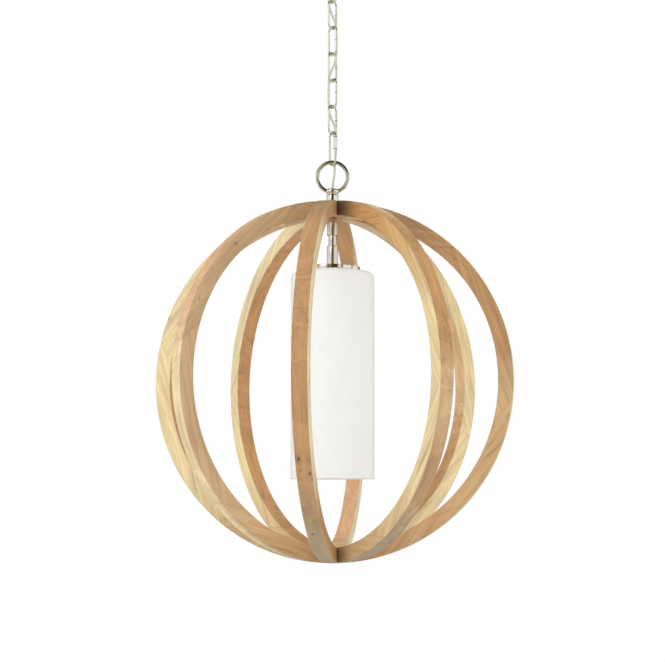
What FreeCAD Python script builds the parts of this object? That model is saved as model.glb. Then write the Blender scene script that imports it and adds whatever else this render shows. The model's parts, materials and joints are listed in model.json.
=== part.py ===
# Round wooden cage pendant with a glass cylinder shade, on a chain below a ceiling canopy.
# Millimetres. The origin is the middle of the ceiling strap, on the ceiling plane.
# +Z points up, the light hangs along -Z, and its front faces -Y.
import FreeCAD
import Part
import math
import os

Vector = FreeCAD.Vector
UP = Vector(0, 0, 1)

# Clearances and tolerances
wire_gap = 0.3
bore_gap = 0.05
spin_gap = 0.2
face_gap = 0.3
ring_bore_gap = 0.65
flex_bore_gap = 0.35
cut_overrun = 2.0

# Wooden cage
cage_diameter = 560.0
rib_depth = 23.0
rib_width = 24.0
rib_edge = 1.0
ring_count = 4
ring_turn_deg = -9.5
segments_per_ring = 6
scarf_length = 36.0
scarf_phase_deg = (7.0, 32.0, 40.0, 44.0)
pole_hole_clearance = 0.3

# Ceiling strap and nipple
slot_spacing = 88.9
slot_length = 12.0
slot_width = 4.8
strap_end = 2.55
strap_width = 19.0
strap_thickness = 1.6
pipe_diameter = 9.6
pipe_bore = 7.0
nipple_above = 6.0
locknut_across = 14.0
locknut_height = 3.2
ground_screw_offset = 17.0
ground_screw_diameter = 4.0
ground_screw_length = 4.0
ground_head_diameter = 8.0
ground_head_height = 2.4

# Canopy and its screw collar
canopy_room = 9.3
canopy_depth = 22.0
canopy_wall = 1.2
canopy_corner = 14.0
collar_thread_diameter = 22.0
collar_thread_above = 4.0
collar_thread_length = 19.0
collar_floor = 4.0
collar_chamber_diameter = 19.0
collar_chamber_height = 6.0
collar_ring_diameter = 34.0
collar_ring_height = 8.0
collar_ring_edge = 1.2
eye_radius = 9.5
eye_wire = 4.2
eye_sink = 1.4
eye_turn_deg = -45.0

# Chain links
link_count = 6
link_wire = 3.1
link_inner_length = 42.4
link_outer_width = 19.5
link_turn_deg = 45.0
link_butt_gap = 0.3

# Quick link and its threaded sleeve
quick_wire = 3.2
quick_inner_length = 49.2
quick_outer_width = 18.2
quick_turn_deg = 35.0
quick_mouth = 6.0
sleeve_across = 6.3
sleeve_length = 20.5

# Hanging ring and the turned holder that it passes through
ring_diameter = 53.0
ring_wire = 5.6
holder_cup_diameter = 20.8
holder_cup_above = 4.6
holder_waist_diameter = 15.0
holder_waist_below = 4.2
holder_barrel_diameter = 18.2
holder_height = 21.9
holder_edge = 1.3
holder_rim = 1.6
holder_drilling = 13.6
pipe_in_holder = 5.4

# Stem below the top pole
sleeve_diameter = 17.0
stem_tube_diameter = 12.7
upper_sleeve_length = 28.0
stem_tube_length = 16.1
lower_sleeve_length = 30.6
stem_foot_edge = 0.5
stem_top_edge = 1.0
sleeve_top_edge = 2.0
seat_diameter = 18.8
seat_height = 3.6

# Shade cap and glass
cap_diameter = 85.5
cap_height = 6.5
cap_plate = 1.5
cap_rim = 1.6
cap_edge = 0.6
glass_diameter = 129.6
glass_height = 323.0
glass_wall = 3.0
glass_top_wall = 4.0
glass_hole_clearance = 1.0
glass_shoulder_drop = 2.6
glass_shoulder_inset = 5.0
glass_corner = 5.0
gasket_width = 7.5
gasket_thickness = 1.0
shade_ring_wall = 2.8
shade_ring_lip = 6.0
shade_ring_height = 8.0
shade_ring_flange = 2.0

# Lampholder
holder_shell_wall = 2.0
holder_shell_length = 54.0
holder_shell_plate = 3.0
holder_boss_diameter = 16.0
holder_boss_height = 5.0
insulator_gap_above = 5.0
insulator_height = 14.0
screw_shell_clearance = 0.75
screw_shell_wall = 0.8
screw_shell_liner = 3.4
screw_shell_length = 28.0
contact_diameter = 8.0
contact_height = 1.5
terminal_offset = 10.0
terminal_diameter = 5.0
terminal_height = 2.0
terminal_shank = 3.0
terminal_shank_length = 6.0

# Bulb
bulb_cap_diameter = 26.1
bulb_cap_length = 25.0
bulb_cap_wall = 0.4
bulb_button_diameter = 10.0
bulb_button_height = 2.0
bulb_length = 110.0
bulb_diameter = 60.0
bulb_wall = 1.0
bulb_neck_diameter = 25.0
bulb_neck_in_cap = 8.0

# Flex, its conductors and connectors
flex_diameter = 3.6
flex_above = 10.0
flex_side = 5.4
flex_side_bow = 6.3
flex_side_depth = 0.6
flex_eye_side = 7.2
flex_quick_side = 4.6
flex_quick_depth = 2.6
flex_ring_side = 5.4
flex_arc_share = 0.45

# Places of the flex along each link, as shares of the distance between its two pivots
flex_high_share = 0.25
flex_low_share = 0.75

# Places of the flex beside the ring: across and back as shares of the ring side,
# and up from the ring's bottom wire as shares of the ring's centre length
flex_above_holder_shares = ((0.63, 1.0, 0.978), (0.593, 0.778, 0.63))
flex_in_holder_shares = ((0.074, 0.852, 0.305), (0.0, 1.0, -0.026), (0.0, 0.0, -0.235))
conductor_diameter = 1.4
conductor_offset = 0.95
conductor_rise = 14.0
conductor_reach = 24.0
wire_nut_length = 15.0
wire_nut_mouth = 8.0
wire_nut_tip = 5.0
supply_conductors = 3

# Widths of the ceiling fitting, from the box screws outwards
strap_length = slot_spacing + slot_length + 2 * strap_end
canopy_diameter = strap_length + 2 * (canopy_room + canopy_wall)

# Widths at the lampholder, from the bulb's cap outwards
screw_shell_bore = bulb_cap_diameter + 2 * screw_shell_clearance
holder_shell_bore = screw_shell_bore + 2 * (screw_shell_wall + screw_shell_liner)
holder_shell_diameter = holder_shell_bore + 2 * holder_shell_wall
glass_hole_diameter = holder_shell_diameter + 2 * glass_hole_clearance
gasket_diameter = glass_hole_diameter + 2 * gasket_width
shade_ring_skirt = holder_shell_diameter + 2 * (spin_gap + shade_ring_wall)
shade_ring_diameter = shade_ring_skirt + 2 * shade_ring_lip

# Heights, from the ceiling down
canopy_bottom = -canopy_depth
collar_top = canopy_bottom + collar_thread_above
collar_bottom = collar_top - collar_thread_length
nipple_bottom = collar_bottom + collar_floor + collar_chamber_height
eye_centre = collar_bottom - eye_radius + eye_sink
eye_pivot = eye_centre - eye_radius


def next_pivot(pivot, upper_wire, lower_wire, centre_length):
    """Height of a link's bottom wire centre, when it hangs on the wire centred at pivot."""
    return pivot + (upper_wire + lower_wire) / 2 + wire_gap - centre_length


link_centre_length = link_inner_length + link_wire
quick_centre_length = quick_inner_length + quick_wire
ring_centre_length = ring_diameter - ring_wire
link_pivots = [next_pivot(eye_pivot, eye_wire, link_wire, link_centre_length)]
for _ in range(link_count - 1):
    link_pivots.append(next_pivot(link_pivots[-1], link_wire, link_wire, link_centre_length))
quick_pivot = next_pivot(link_pivots[-1], link_wire, quick_wire, quick_centre_length)
ring_pivot = next_pivot(quick_pivot, quick_wire, ring_wire, ring_centre_length)

cage_radius = cage_diameter / 2
rib_inner_radius = cage_radius - rib_depth
holder_top = ring_pivot + holder_cup_above
cage_top = holder_top - holder_height
cage_centre = cage_top - cage_radius
pipe_top = cage_top + pipe_in_holder
upper_sleeve_top = cage_centre + math.sqrt(rib_inner_radius ** 2 - (sleeve_diameter / 2) ** 2)
stem_tube_top = upper_sleeve_top - upper_sleeve_length
lower_sleeve_top = stem_tube_top - stem_tube_length
seat_top = lower_sleeve_top - lower_sleeve_length
cap_top = seat_top - seat_height
glass_top = cap_top - cap_height
holder_shell_top = cap_top - cap_plate
pipe_bottom = holder_shell_top - holder_shell_plate - holder_boss_height
insulator_top = pipe_bottom - insulator_gap_above
insulator_bottom = insulator_top - insulator_height
contact_bottom = insulator_bottom - contact_height
bulb_top = contact_bottom - face_gap


def direction(turn_deg):
    """Level unit vector at a turn about Z, where 0 points to the front."""
    turn = math.radians(turn_deg)
    return Vector(math.sin(turn), -math.cos(turn), 0)


def rod(diameter, top, bottom, x=0, y=0):
    """Upright round bar between two heights."""
    return Part.makeCylinder(diameter / 2, top - bottom, Vector(x, y, bottom))


def tube(outer, inner, top, bottom):
    """Upright tube on the Z axis."""
    bore = rod(inner, top + cut_overrun, bottom - cut_overrun)
    return rod(outer, top, bottom).cut(bore)


def hexagon_nut(across, bore, top, bottom, x=0, y=0):
    """Upright hexagonal nut with a plain bore."""
    corner = across / math.sqrt(3)
    points = []
    for side in range(6 + 1):
        angle = math.radians(60 * side)
        points.append(Vector(x + corner * math.cos(angle), y + corner * math.sin(angle), bottom))
    body = Part.Face(Part.makePolygon(points)).extrude(UP * (top - bottom))
    return body.cut(rod(bore, top + cut_overrun, bottom - cut_overrun, x, y))


def corner_arc(before, point, after, setback):
    """Start, arc edge and end of a tangent arc that rounds one point of a path."""
    back = (before - point).normalize()
    ahead = (after - point).normalize()
    half_turn = (math.pi - back.getAngle(ahead)) / 2
    radius = setback / math.tan(half_turn)
    inward = (back + ahead).normalize()
    middle = point + inward * (radius / math.cos(half_turn) - radius)
    start = point + back * setback
    end = point + ahead * setback
    return start, Part.Arc(start, middle, end).toShape(), end, radius


def turned(outline):
    """Solid turned about the Z axis from closed (radius, height, corner radius) points."""
    points = [Vector(radius, 0, height) for radius, height, _ in outline]
    count = len(points)
    starts, ends, arcs = [], [], []
    for n, (_, _, rounding) in enumerate(outline):
        before, point, after = points[n - 1], points[n], points[(n + 1) % count]
        start, arc, end = point, None, point
        if rounding:
            turn = math.pi - (before - point).getAngle(after - point)
            start, arc, end, _ = corner_arc(before, point, after, rounding * math.tan(turn / 2))
        starts.append(start)
        arcs.append(arc)
        ends.append(end)
    edges = []
    for n in range(count):
        if arcs[n]:
            edges.append(arcs[n])
        edges.append(Part.LineSegment(ends[n], starts[(n + 1) % count]).toShape())
    return Part.Face(Part.Wire(edges)).revolve(Vector(0, 0, 0), UP, 360)


def sweep_round(path, diameter):
    """Round bar along a wire, as one solid."""
    first = path.OrderedEdges[0]
    start = first.valueAt(first.FirstParameter)
    along = first.tangentAt(first.FirstParameter)
    section = Part.Wire(Part.makeCircle(diameter / 2, start, along))
    return path.makePipeShell([section], True, False)


def mid_point(one, other):
    return (one + other) * 0.5


def route_wire(points, first, last):
    """Part of a flex's route, from the middle of the run before a point to past another."""
    edges = []
    for n in range(first, last + 1):
        before, point, after = points[n - 1], points[n], points[n + 1]
        shorter = min((point - before).Length, (after - point).Length)
        start, arc, end, radius = corner_arc(before, point, after, flex_arc_share * shorter)
        enter = before if n == 1 else mid_point(before, point)
        leave = after if n == len(points) - 2 else mid_point(point, after)
        edges.append(Part.LineSegment(enter, start).toShape())
        edges.append(arc)
        edges.append(Part.LineSegment(end, leave).toShape())
        print("flex point", n, "radius", round(radius, 1))
    return Part.Wire(edges)


def ceiling_strap():
    """Flat strap that screws to the outlet box, with a slot at each end."""
    strap = Part.makeBox(strap_length, strap_width, strap_thickness,
                         Vector(-strap_length / 2, -strap_width / 2, -strap_thickness))
    deep = strap_thickness + 2 * cut_overrun
    low = -strap_thickness - cut_overrun
    straight = slot_length - slot_width
    for side in (-1, 1):
        middle = side * slot_spacing / 2
        slot = Part.makeBox(straight, slot_width, deep,
                            Vector(middle - straight / 2, -slot_width / 2, low))
        for end in (-1, 1):
            slot = slot.fuse(rod(slot_width, low + deep, low, middle + end * straight / 2))
        strap = strap.cut(slot)
    strap = strap.cut(rod(pipe_diameter + 2 * spin_gap, low + deep, low))
    hole = ground_screw_diameter + 2 * bore_gap
    return strap.cut(rod(hole, low + deep, low, ground_screw_offset))


def nipple_locknuts():
    """Two thin nuts that clamp the nipple to the strap."""
    bore = pipe_diameter + 2 * bore_gap
    above = hexagon_nut(locknut_across, bore, locknut_height, 0)
    below = hexagon_nut(locknut_across, bore, -strap_thickness, -strap_thickness - locknut_height)
    return Part.makeCompound([above, below])


def ground_screw():
    head_top = -strap_thickness
    head = rod(ground_head_diameter, head_top, head_top - ground_head_height, ground_screw_offset)
    shank = rod(ground_screw_diameter, ground_screw_length, head_top, ground_screw_offset)
    return head.fuse(shank)


def canopy():
    """Round spun dish that covers the outlet box."""
    radius = canopy_diameter / 2
    hole = collar_thread_diameter / 2 + face_gap
    inner_corner = canopy_corner - canopy_wall
    return turned([
        (hole, canopy_bottom, 0),
        (radius, canopy_bottom, canopy_corner),
        (radius, 0, 0),
        (radius - canopy_wall, 0, 0),
        (radius - canopy_wall, canopy_bottom + canopy_wall, inner_corner),
        (hole, canopy_bottom + canopy_wall, 0),
    ])


def collar_loop(flex_hole):
    """Threaded collar with an eye below it. The nipple screws into its top."""
    body = rod(collar_thread_diameter, collar_top, collar_bottom)
    eye = Part.makeTorus(eye_radius, eye_wire / 2, Vector(0, 0, eye_centre),
                         direction(eye_turn_deg + 90))
    body = body.fuse(eye)
    chamber_top = nipple_bottom
    chamber = rod(collar_chamber_diameter, chamber_top, chamber_top - collar_chamber_height)
    nipple_hole = rod(pipe_diameter + 2 * bore_gap, collar_top + cut_overrun, chamber_top)
    return body.cut(chamber).cut(nipple_hole).cut(flex_hole)


def collar_ring():
    """Knurled ring that screws up the collar and holds the canopy to the ceiling."""
    top = canopy_bottom - face_gap
    bottom = top - collar_ring_height
    outer = collar_ring_diameter / 2
    inner = collar_thread_diameter / 2 + spin_gap
    return turned([
        (inner, bottom, 0),
        (outer, bottom, collar_ring_edge),
        (outer, top, collar_ring_edge),
        (inner, top, 0),
    ])


def open_link(wire, outer_width, centre_length, pivot, turn_deg, side, gap_high, gap_low):
    """Oval link bent from one wire. Its two ends face each other across a gap in one leg."""
    across = direction(turn_deg) * side
    reach = (outer_width - wire) / 2
    low = pivot + reach
    high = pivot + centre_length - reach

    def at(share, height):
        return across * (reach * share) + UP * height

    edges = [
        Part.LineSegment(at(1, gap_high), at(1, high)).toShape(),
        Part.Arc(at(1, high), at(0, high + reach), at(-1, high)).toShape(),
        Part.LineSegment(at(-1, high), at(-1, low)).toShape(),
        Part.Arc(at(-1, low), at(0, low - reach), at(1, low)).toShape(),
        Part.LineSegment(at(1, low), at(1, gap_low)).toShape(),
    ]
    return sweep_round(Part.Wire(edges), wire)


def chain_link(number):
    """Links alternate a quarter turn, and each has its butt seam half way down one leg."""
    pivot = link_pivots[number - 1]
    sign = 1 if number % 2 else -1
    seam = pivot + link_centre_length / 2
    return open_link(link_wire, link_outer_width, link_centre_length, pivot,
                     sign * link_turn_deg, sign, seam + link_butt_gap / 2, seam - link_butt_gap / 2)


def sleeve_span():
    """Top and bottom height of the quick link's sleeve, just under the upper bend."""
    reach = (quick_outer_width - quick_wire) / 2
    top = quick_pivot + quick_centre_length - reach - face_gap
    return top, top - sleeve_length


def quick_link():
    """Connector link with an open mouth in its front leg, which the sleeve closes."""
    top, bottom = sleeve_span()
    middle = mid_point(top, bottom)
    return open_link(quick_wire, quick_outer_width, quick_centre_length, quick_pivot,
                     quick_turn_deg, 1, middle + quick_mouth / 2, middle - quick_mouth / 2)


def quick_link_sleeve():
    top, bottom = sleeve_span()
    leg = direction(quick_turn_deg) * ((quick_outer_width - quick_wire) / 2)
    bore = quick_wire + 2 * spin_gap
    return hexagon_nut(sleeve_across, bore, top, bottom, leg.x, leg.y)


def hanging_ring():
    radius = ring_centre_length / 2
    return Part.makeTorus(radius, ring_wire / 2, Vector(0, 0, ring_pivot + radius), Vector(0, 1, 0))


def loop_holder(flex_hole):
    """Turned holder: a cup that the ring passes through, a waist and a barrel on the wood."""
    waist = ring_pivot - holder_waist_below
    cup = holder_cup_diameter / 2
    neck = holder_waist_diameter / 2
    barrel = holder_barrel_diameter / 2
    body = turned([
        (0, cage_top, 0),
        (barrel, cage_top, holder_edge),
        (barrel, waist - holder_edge, holder_edge),
        (neck, waist, holder_edge),
        (cup, waist + holder_waist_below, holder_edge),
        (cup, holder_top, holder_rim),
        (0, holder_top, 0),
    ])
    radius = ring_centre_length / 2
    channel = Part.makeTorus(radius, ring_wire / 2 + ring_bore_gap,
                             Vector(0, 0, ring_pivot + radius), Vector(0, 1, 0))
    drilling = rod(pipe_diameter + 2 * bore_gap, cage_top + holder_drilling, cage_top - cut_overrun)
    return body.cut(channel).cut(drilling).cut(flex_hole)


def rib_section():
    """Closed outline of a rib: flat sides, eased edges, in the ring's own XZ plane."""
    half = rib_width / 2
    outer, inner = cage_radius, rib_inner_radius
    corners = [
        (inner + rib_edge, -half), (outer - rib_edge, -half),
        (outer, -half + rib_edge), (outer, half - rib_edge),
        (outer - rib_edge, half), (inner + rib_edge, half),
        (inner, half - rib_edge), (inner, -half + rib_edge),
    ]
    corners.append(corners[0])
    return Part.makePolygon([Vector(along, across, 0) for along, across in corners])


def segment_block(start_deg, end_deg, lean):
    """Prism round one segment. Its two ends are scarf joints, which lean opposite ways."""
    outer = cage_radius + rib_depth
    inner = rib_inner_radius - rib_depth
    middle = mid_point(start_deg, end_deg)
    scarf_deg = math.degrees(scarf_length / mid_point(cage_radius, rib_inner_radius))
    slope = lean * scarf_deg * (outer - inner) / rib_depth
    over = 1 / math.cos(math.radians((end_deg - start_deg) / 2))
    corners = [
        (outer, start_deg + slope / 2), (outer * over, middle), (outer, end_deg - slope / 2),
        (inner, end_deg + slope / 2), (inner, middle), (inner, start_deg - slope / 2),
    ]
    points = []
    for radius, angle_deg in corners + corners[:1]:
        angle = math.radians(angle_deg)
        points.append(Vector(radius * math.sin(angle), -rib_width, radius * math.cos(angle)))
    return Part.Face(Part.makePolygon(points)).extrude(Vector(0, 2 * rib_width, 0))


def lap_cut(turn_deg, low, high):
    """Block over another ring's band near a pole, between two heights from the centre."""
    reach = 2 * rib_width
    block = Part.makeBox(2 * reach, rib_width, high - low, Vector(-reach, -rib_width / 2, low))
    block.rotate(Vector(0, 0, 0), UP, turn_deg)
    return block


def wood_ring(index):
    """Ring of glued segments, lapped with the other rings at both poles."""
    whole = Part.Face(rib_section()).revolve(Vector(0, 0, 0), Vector(0, 1, 0), 360)
    step = rib_depth / ring_count
    spacing = 180 / ring_count
    for other in range(ring_count):
        if other == index:
            continue
        if other > index:
            low, high = rib_inner_radius + (index + 1) * step, cage_radius + cut_overrun
        else:
            low, high = rib_inner_radius - rib_depth, rib_inner_radius + (other + 1) * step
        turn = (other - index) * spacing
        whole = whole.cut(lap_cut(turn, low, high)).cut(lap_cut(turn, -high, -low))
    hole = pipe_diameter + 2 * pole_hole_clearance
    whole = whole.cut(rod(hole, cage_radius + cut_overrun, rib_inner_radius - cut_overrun))
    arc_deg = 360 / segments_per_ring
    segments = []
    for n in range(segments_per_ring):
        start = scarf_phase_deg[index] + n * arc_deg
        lean = (-1) ** (n + index)
        segments.extend(whole.common(segment_block(start, start + arc_deg, lean)).Solids)
    ring = Part.makeCompound(segments)
    ring.rotate(Vector(0, 0, 0), UP, ring_turn_deg + index * spacing - 90)
    ring.translate(UP * cage_centre)
    return ring


def stem_piece(diameter, top, bottom, top_edge=stem_top_edge):
    """Polished sleeve over the pipe, with eased edges."""
    inner = pipe_diameter / 2 + spin_gap
    outer = diameter / 2
    return turned([
        (inner, bottom, 0),
        (outer, bottom, stem_foot_edge),
        (outer, top, top_edge),
        (inner, top, 0),
    ])


def shade_cap():
    """Shallow polished cover with a turned-down rim that the glass is drawn up to."""
    radius = cap_diameter / 2
    inner = pipe_diameter / 2 + spin_gap
    return turned([
        (inner, cap_top - cap_plate, 0),
        (radius - cap_rim, cap_top - cap_plate, 0),
        (radius - cap_rim, glass_top, 0),
        (radius, glass_top, 0),
        (radius, cap_top, cap_edge),
        (inner, cap_top, 0),
    ])


def glass_shade():
    """Cylinder, open below, with a sloping shoulder and a round corner at the top."""
    outer = glass_diameter / 2
    bottom = glass_top - glass_height
    flat = cap_diameter / 2
    shoulder = outer - glass_shoulder_inset
    drop = glass_shoulder_drop
    hole = glass_hole_diameter / 2
    inside = glass_top - glass_top_wall
    rim = glass_wall / 2 - bore_gap
    return turned([
        (hole, glass_top, 0),
        (flat, glass_top, 0),
        (shoulder, glass_top - drop, glass_corner),
        (outer, glass_top - drop - glass_shoulder_inset, glass_corner),
        (outer, bottom, rim),
        (outer - glass_wall, bottom, rim),
        (outer - glass_wall, inside - drop - glass_shoulder_inset, glass_corner - glass_wall),
        (shoulder - glass_wall, inside - drop, glass_corner),
        (flat, inside, 0),
        (hole, inside, 0),
    ])


def shade_gasket():
    top = glass_top - glass_top_wall
    return tube(gasket_diameter, glass_hole_diameter, top, top - gasket_thickness)


def shade_ring():
    """Ring that screws up the lampholder and holds the glass: a flange over a skirt."""
    top = glass_top - glass_top_wall - gasket_thickness
    bottom = top - shade_ring_height
    inner = holder_shell_diameter / 2 + spin_gap
    skirt = shade_ring_skirt / 2
    outer = shade_ring_diameter / 2
    return turned([
        (inner, bottom, 0),
        (skirt, bottom, 0),
        (skirt, top - shade_ring_flange, 0),
        (outer, top - shade_ring_flange, 0),
        (outer, top, 0),
        (inner, top, 0),
    ])


def lampholder_shell():
    """Threaded outer shell. The pipe screws into the boss in its top plate."""
    outer = holder_shell_diameter / 2
    inner = holder_shell_bore / 2
    bore = pipe_diameter / 2 + bore_gap
    boss = holder_boss_diameter / 2
    plate = holder_shell_top - holder_shell_plate
    bottom = holder_shell_top - holder_shell_length
    return turned([
        (bore, holder_shell_top, 0),
        (outer, holder_shell_top, 0),
        (outer, bottom, 0),
        (inner, bottom, 0),
        (inner, plate, 0),
        (boss, plate, 0),
        (boss, pipe_bottom, 0),
        (bore, pipe_bottom, 0),
    ])


def lampholder_insulator():
    """Moulded block inside the shell, with a blind hole for each terminal screw."""
    block = rod(holder_shell_bore - 2 * bore_gap, insulator_top, insulator_bottom)
    hole = terminal_shank + 2 * bore_gap
    hole_bottom = insulator_top - terminal_shank_length - bore_gap
    for side in (-1, 1):
        block = block.cut(rod(hole, insulator_top + cut_overrun, hole_bottom, side * terminal_offset))
    return block


def terminal_screws():
    screws = []
    for side in (-1, 1):
        x = side * terminal_offset
        head = rod(terminal_diameter, insulator_top + terminal_height, insulator_top, x)
        shank = rod(terminal_shank, insulator_top, insulator_top - terminal_shank_length, x)
        screws.append(head.fuse(shank))
    return Part.makeCompound(screws)


def screw_shell():
    """Brass shell that the bulb's cap screws into, with its thread left plain."""
    outer = screw_shell_bore + 2 * screw_shell_wall
    return tube(outer, screw_shell_bore, insulator_bottom, insulator_bottom - screw_shell_length)


def bulb_cap():
    """Screw cap of the bulb, open below for the neck of the globe."""
    top = bulb_top - bulb_button_height
    outer = bulb_cap_diameter / 2
    inner = outer - bulb_cap_wall
    shoulder = bulb_button_diameter / 2
    return turned([
        (0, top, 0),
        (shoulder, top, 0),
        (outer, top - shoulder, 0),
        (outer, top - bulb_cap_length, 0),
        (inner, top - bulb_cap_length, 0),
        (inner, top - shoulder - bulb_cap_wall, 0),
        (shoulder, top - 2 * bulb_cap_wall, 0),
        (0, top - 2 * bulb_cap_wall, 0),
    ])


def bulb_profile(radius, neck, low, high):
    """Globe, cone and neck of a bulb from its lowest point up, with tangent joins."""
    middle = low + radius
    rise = high - middle
    lean = math.asin((radius - neck) / math.hypot(rise, radius - neck))
    waist = Vector(radius * math.cos(lean), 0, middle + radius * math.sin(lean))
    below = math.radians(-45)
    side = Vector(radius * math.cos(below), 0, middle + radius * math.sin(below))
    return Vector(0, 0, low), side, waist, Vector(neck, 0, high)


def bulb_globe():
    """Thin bulb, open at the neck, which sits in the cap."""
    low = bulb_top - bulb_length
    mouth = bulb_top - bulb_button_height - bulb_cap_length
    neck = bulb_neck_diameter / 2
    radius = bulb_diameter / 2
    outer = bulb_profile(radius, neck, low, mouth)
    inner = bulb_profile(radius - bulb_wall, neck - bulb_wall, low + bulb_wall, mouth)
    neck_top = mouth + bulb_neck_in_cap
    lip_out = Vector(neck, 0, neck_top)
    lip_in = Vector(neck - bulb_wall, 0, neck_top)
    edges = [
        Part.Arc(outer[0], outer[1], outer[2]).toShape(),
        Part.LineSegment(outer[2], outer[3]).toShape(),
        Part.LineSegment(outer[3], lip_out).toShape(),
        Part.LineSegment(lip_out, lip_in).toShape(),
        Part.LineSegment(lip_in, inner[3]).toShape(),
        Part.LineSegment(inner[3], inner[2]).toShape(),
        Part.Arc(inner[2], inner[1], inner[0]).toShape(),
        Part.LineSegment(inner[0], outer[0]).toShape(),
    ]
    return Part.Face(Part.Wire(edges)).revolve(Vector(0, 0, 0), UP, 360)


def flex_ring_points(shares):
    """Points of the flex near the ring, from shares of its side and height."""
    return [
        Vector(across * flex_ring_side, back * flex_ring_side, ring_pivot + up * ring_centre_length)
        for across, back, up in shares
    ]


def flex_route():
    """Points of the flex from the outlet box to the lampholder, chosen by hand.

    It crosses through every second link and stays outside the others, passes
    behind the ring and drops into the holder behind the ring's wire. With the
    points come the spans: the first and last point of each of its pieces.
    """
    points = [Vector(0, 0, flex_above)]
    spans = {}

    def add(name, more):
        first = len(points)
        points.extend(more)
        spans[name] = (first, len(points) - 1)

    add("flex_upper", [
        Vector(0, 0, nipple_bottom + flex_diameter / 4),
        Vector(-flex_eye_side, 0, collar_bottom + collar_floor / 2),
    ])
    tops = [eye_pivot] + link_pivots
    bottoms = link_pivots + [quick_pivot]
    side = -1
    last_low = []
    for number, (top, bottom) in enumerate(zip(tops, bottoms), 1):
        high = top + (bottom - top) * flex_high_share
        low = top + (bottom - top) * flex_low_share
        if number % 2:
            high_point = Vector(side * flex_side_bow, flex_side_depth, high)
            low_point = Vector(side * flex_side_bow, -flex_side_depth, low)
        else:
            high_point = Vector(side * flex_side, 0, high)
            low_point = Vector(-side * flex_side, 0, low)
            side = -side
        if number == len(tops):
            low_point = Vector(side * flex_quick_side, flex_quick_depth, low)
        add(f"flex_span_{number}", last_low + [high_point])
        last_low = [low_point]
    number = len(spans)
    add(f"flex_span_{number}", last_low + flex_ring_points(flex_above_holder_shares))
    add(f"flex_span_{number + 1}", flex_ring_points(flex_in_holder_shares))
    points.append(Vector(0, 0, pipe_bottom))
    return points, spans


def conductors(count, start_height, rise, reach):
    """Thin insulated wires that fan out from the end of the flex."""
    wires = []
    for n in range(count):
        out = direction(90 + 360 * n / count)
        sign = 1 if rise > 0 else -1
        start = out * conductor_offset + UP * start_height
        bend = start + UP * (rise / 2)
        end = out * reach + UP * (start_height + rise)
        setback = flex_arc_share * min((bend - start).Length, (end - bend).Length)
        arc_start, arc, arc_end, _ = corner_arc(start, bend, end, setback)
        path = Part.Wire([
            Part.LineSegment(start, arc_start).toShape(),
            arc,
            Part.LineSegment(arc_end, end).toShape(),
        ])
        section = Part.Wire(Part.makeCircle(conductor_diameter / 2, start, UP * sign))
        wires.append(path.makePipeShell([section], True, False))
    return Part.makeCompound(wires)


def wire_nuts():
    """Cone connectors on the ends of the supply wires."""
    nuts = []
    for n in range(supply_conductors):
        out = direction(90 + 360 * n / supply_conductors)
        bend = out * conductor_offset + UP * (flex_above + conductor_rise / 2)
        end = out * conductor_reach + UP * (flex_above + conductor_rise)
        along = (end - bend).normalize()
        nuts.append(Part.makeCone(wire_nut_mouth / 2, wire_nut_tip / 2, wire_nut_length, end, along))
    return Part.makeCompound(nuts)


def lampholder_leads():
    """Two conductors from the end of the flex to the terminal screws."""
    drop = pipe_bottom - insulator_top - terminal_height
    wires = []
    for side in (-1, 1):
        start = Vector(side * conductor_offset, 0, pipe_bottom)
        end = Vector(side * terminal_offset, 0, pipe_bottom - drop + conductor_diameter / 2)
        turn = Vector(side * conductor_offset, 0, pipe_bottom - drop / 2)
        setback = flex_arc_share * (turn - start).Length
        arc_start, arc, arc_end, _ = corner_arc(start, turn, end, setback)
        path = Part.Wire([
            Part.LineSegment(start, arc_start).toShape(),
            arc,
            Part.LineSegment(arc_end, end).toShape(),
        ])
        wires.append(sweep_round(path, conductor_diameter))
    return Part.makeCompound(wires)


def flex_pieces():
    """The flex in spans, one for each joint that it bends over, and the holes that it needs."""
    points, spans = flex_route()
    pieces = {}
    for name, (first, last) in spans.items():
        path = route_wire(points, first, last)
        solid = sweep_round(path, flex_diameter)
        expected = math.pi * (flex_diameter / 2) ** 2 * path.Length
        print(name, "length", round(path.Length, 1), "volume share", round(solid.Volume / expected, 4))
        pieces[name] = solid
    hole = flex_diameter + 2 * flex_bore_gap
    collar_point = spans["flex_upper"][1]
    first_in_holder, last_in_holder = list(spans.values())[-1]
    holes = {
        "collar": sweep_round(route_wire(points, collar_point, collar_point), hole),
        "holder": sweep_round(route_wire(points, first_in_holder, last_in_holder - 1), hole),
    }
    return pieces, holes


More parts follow.
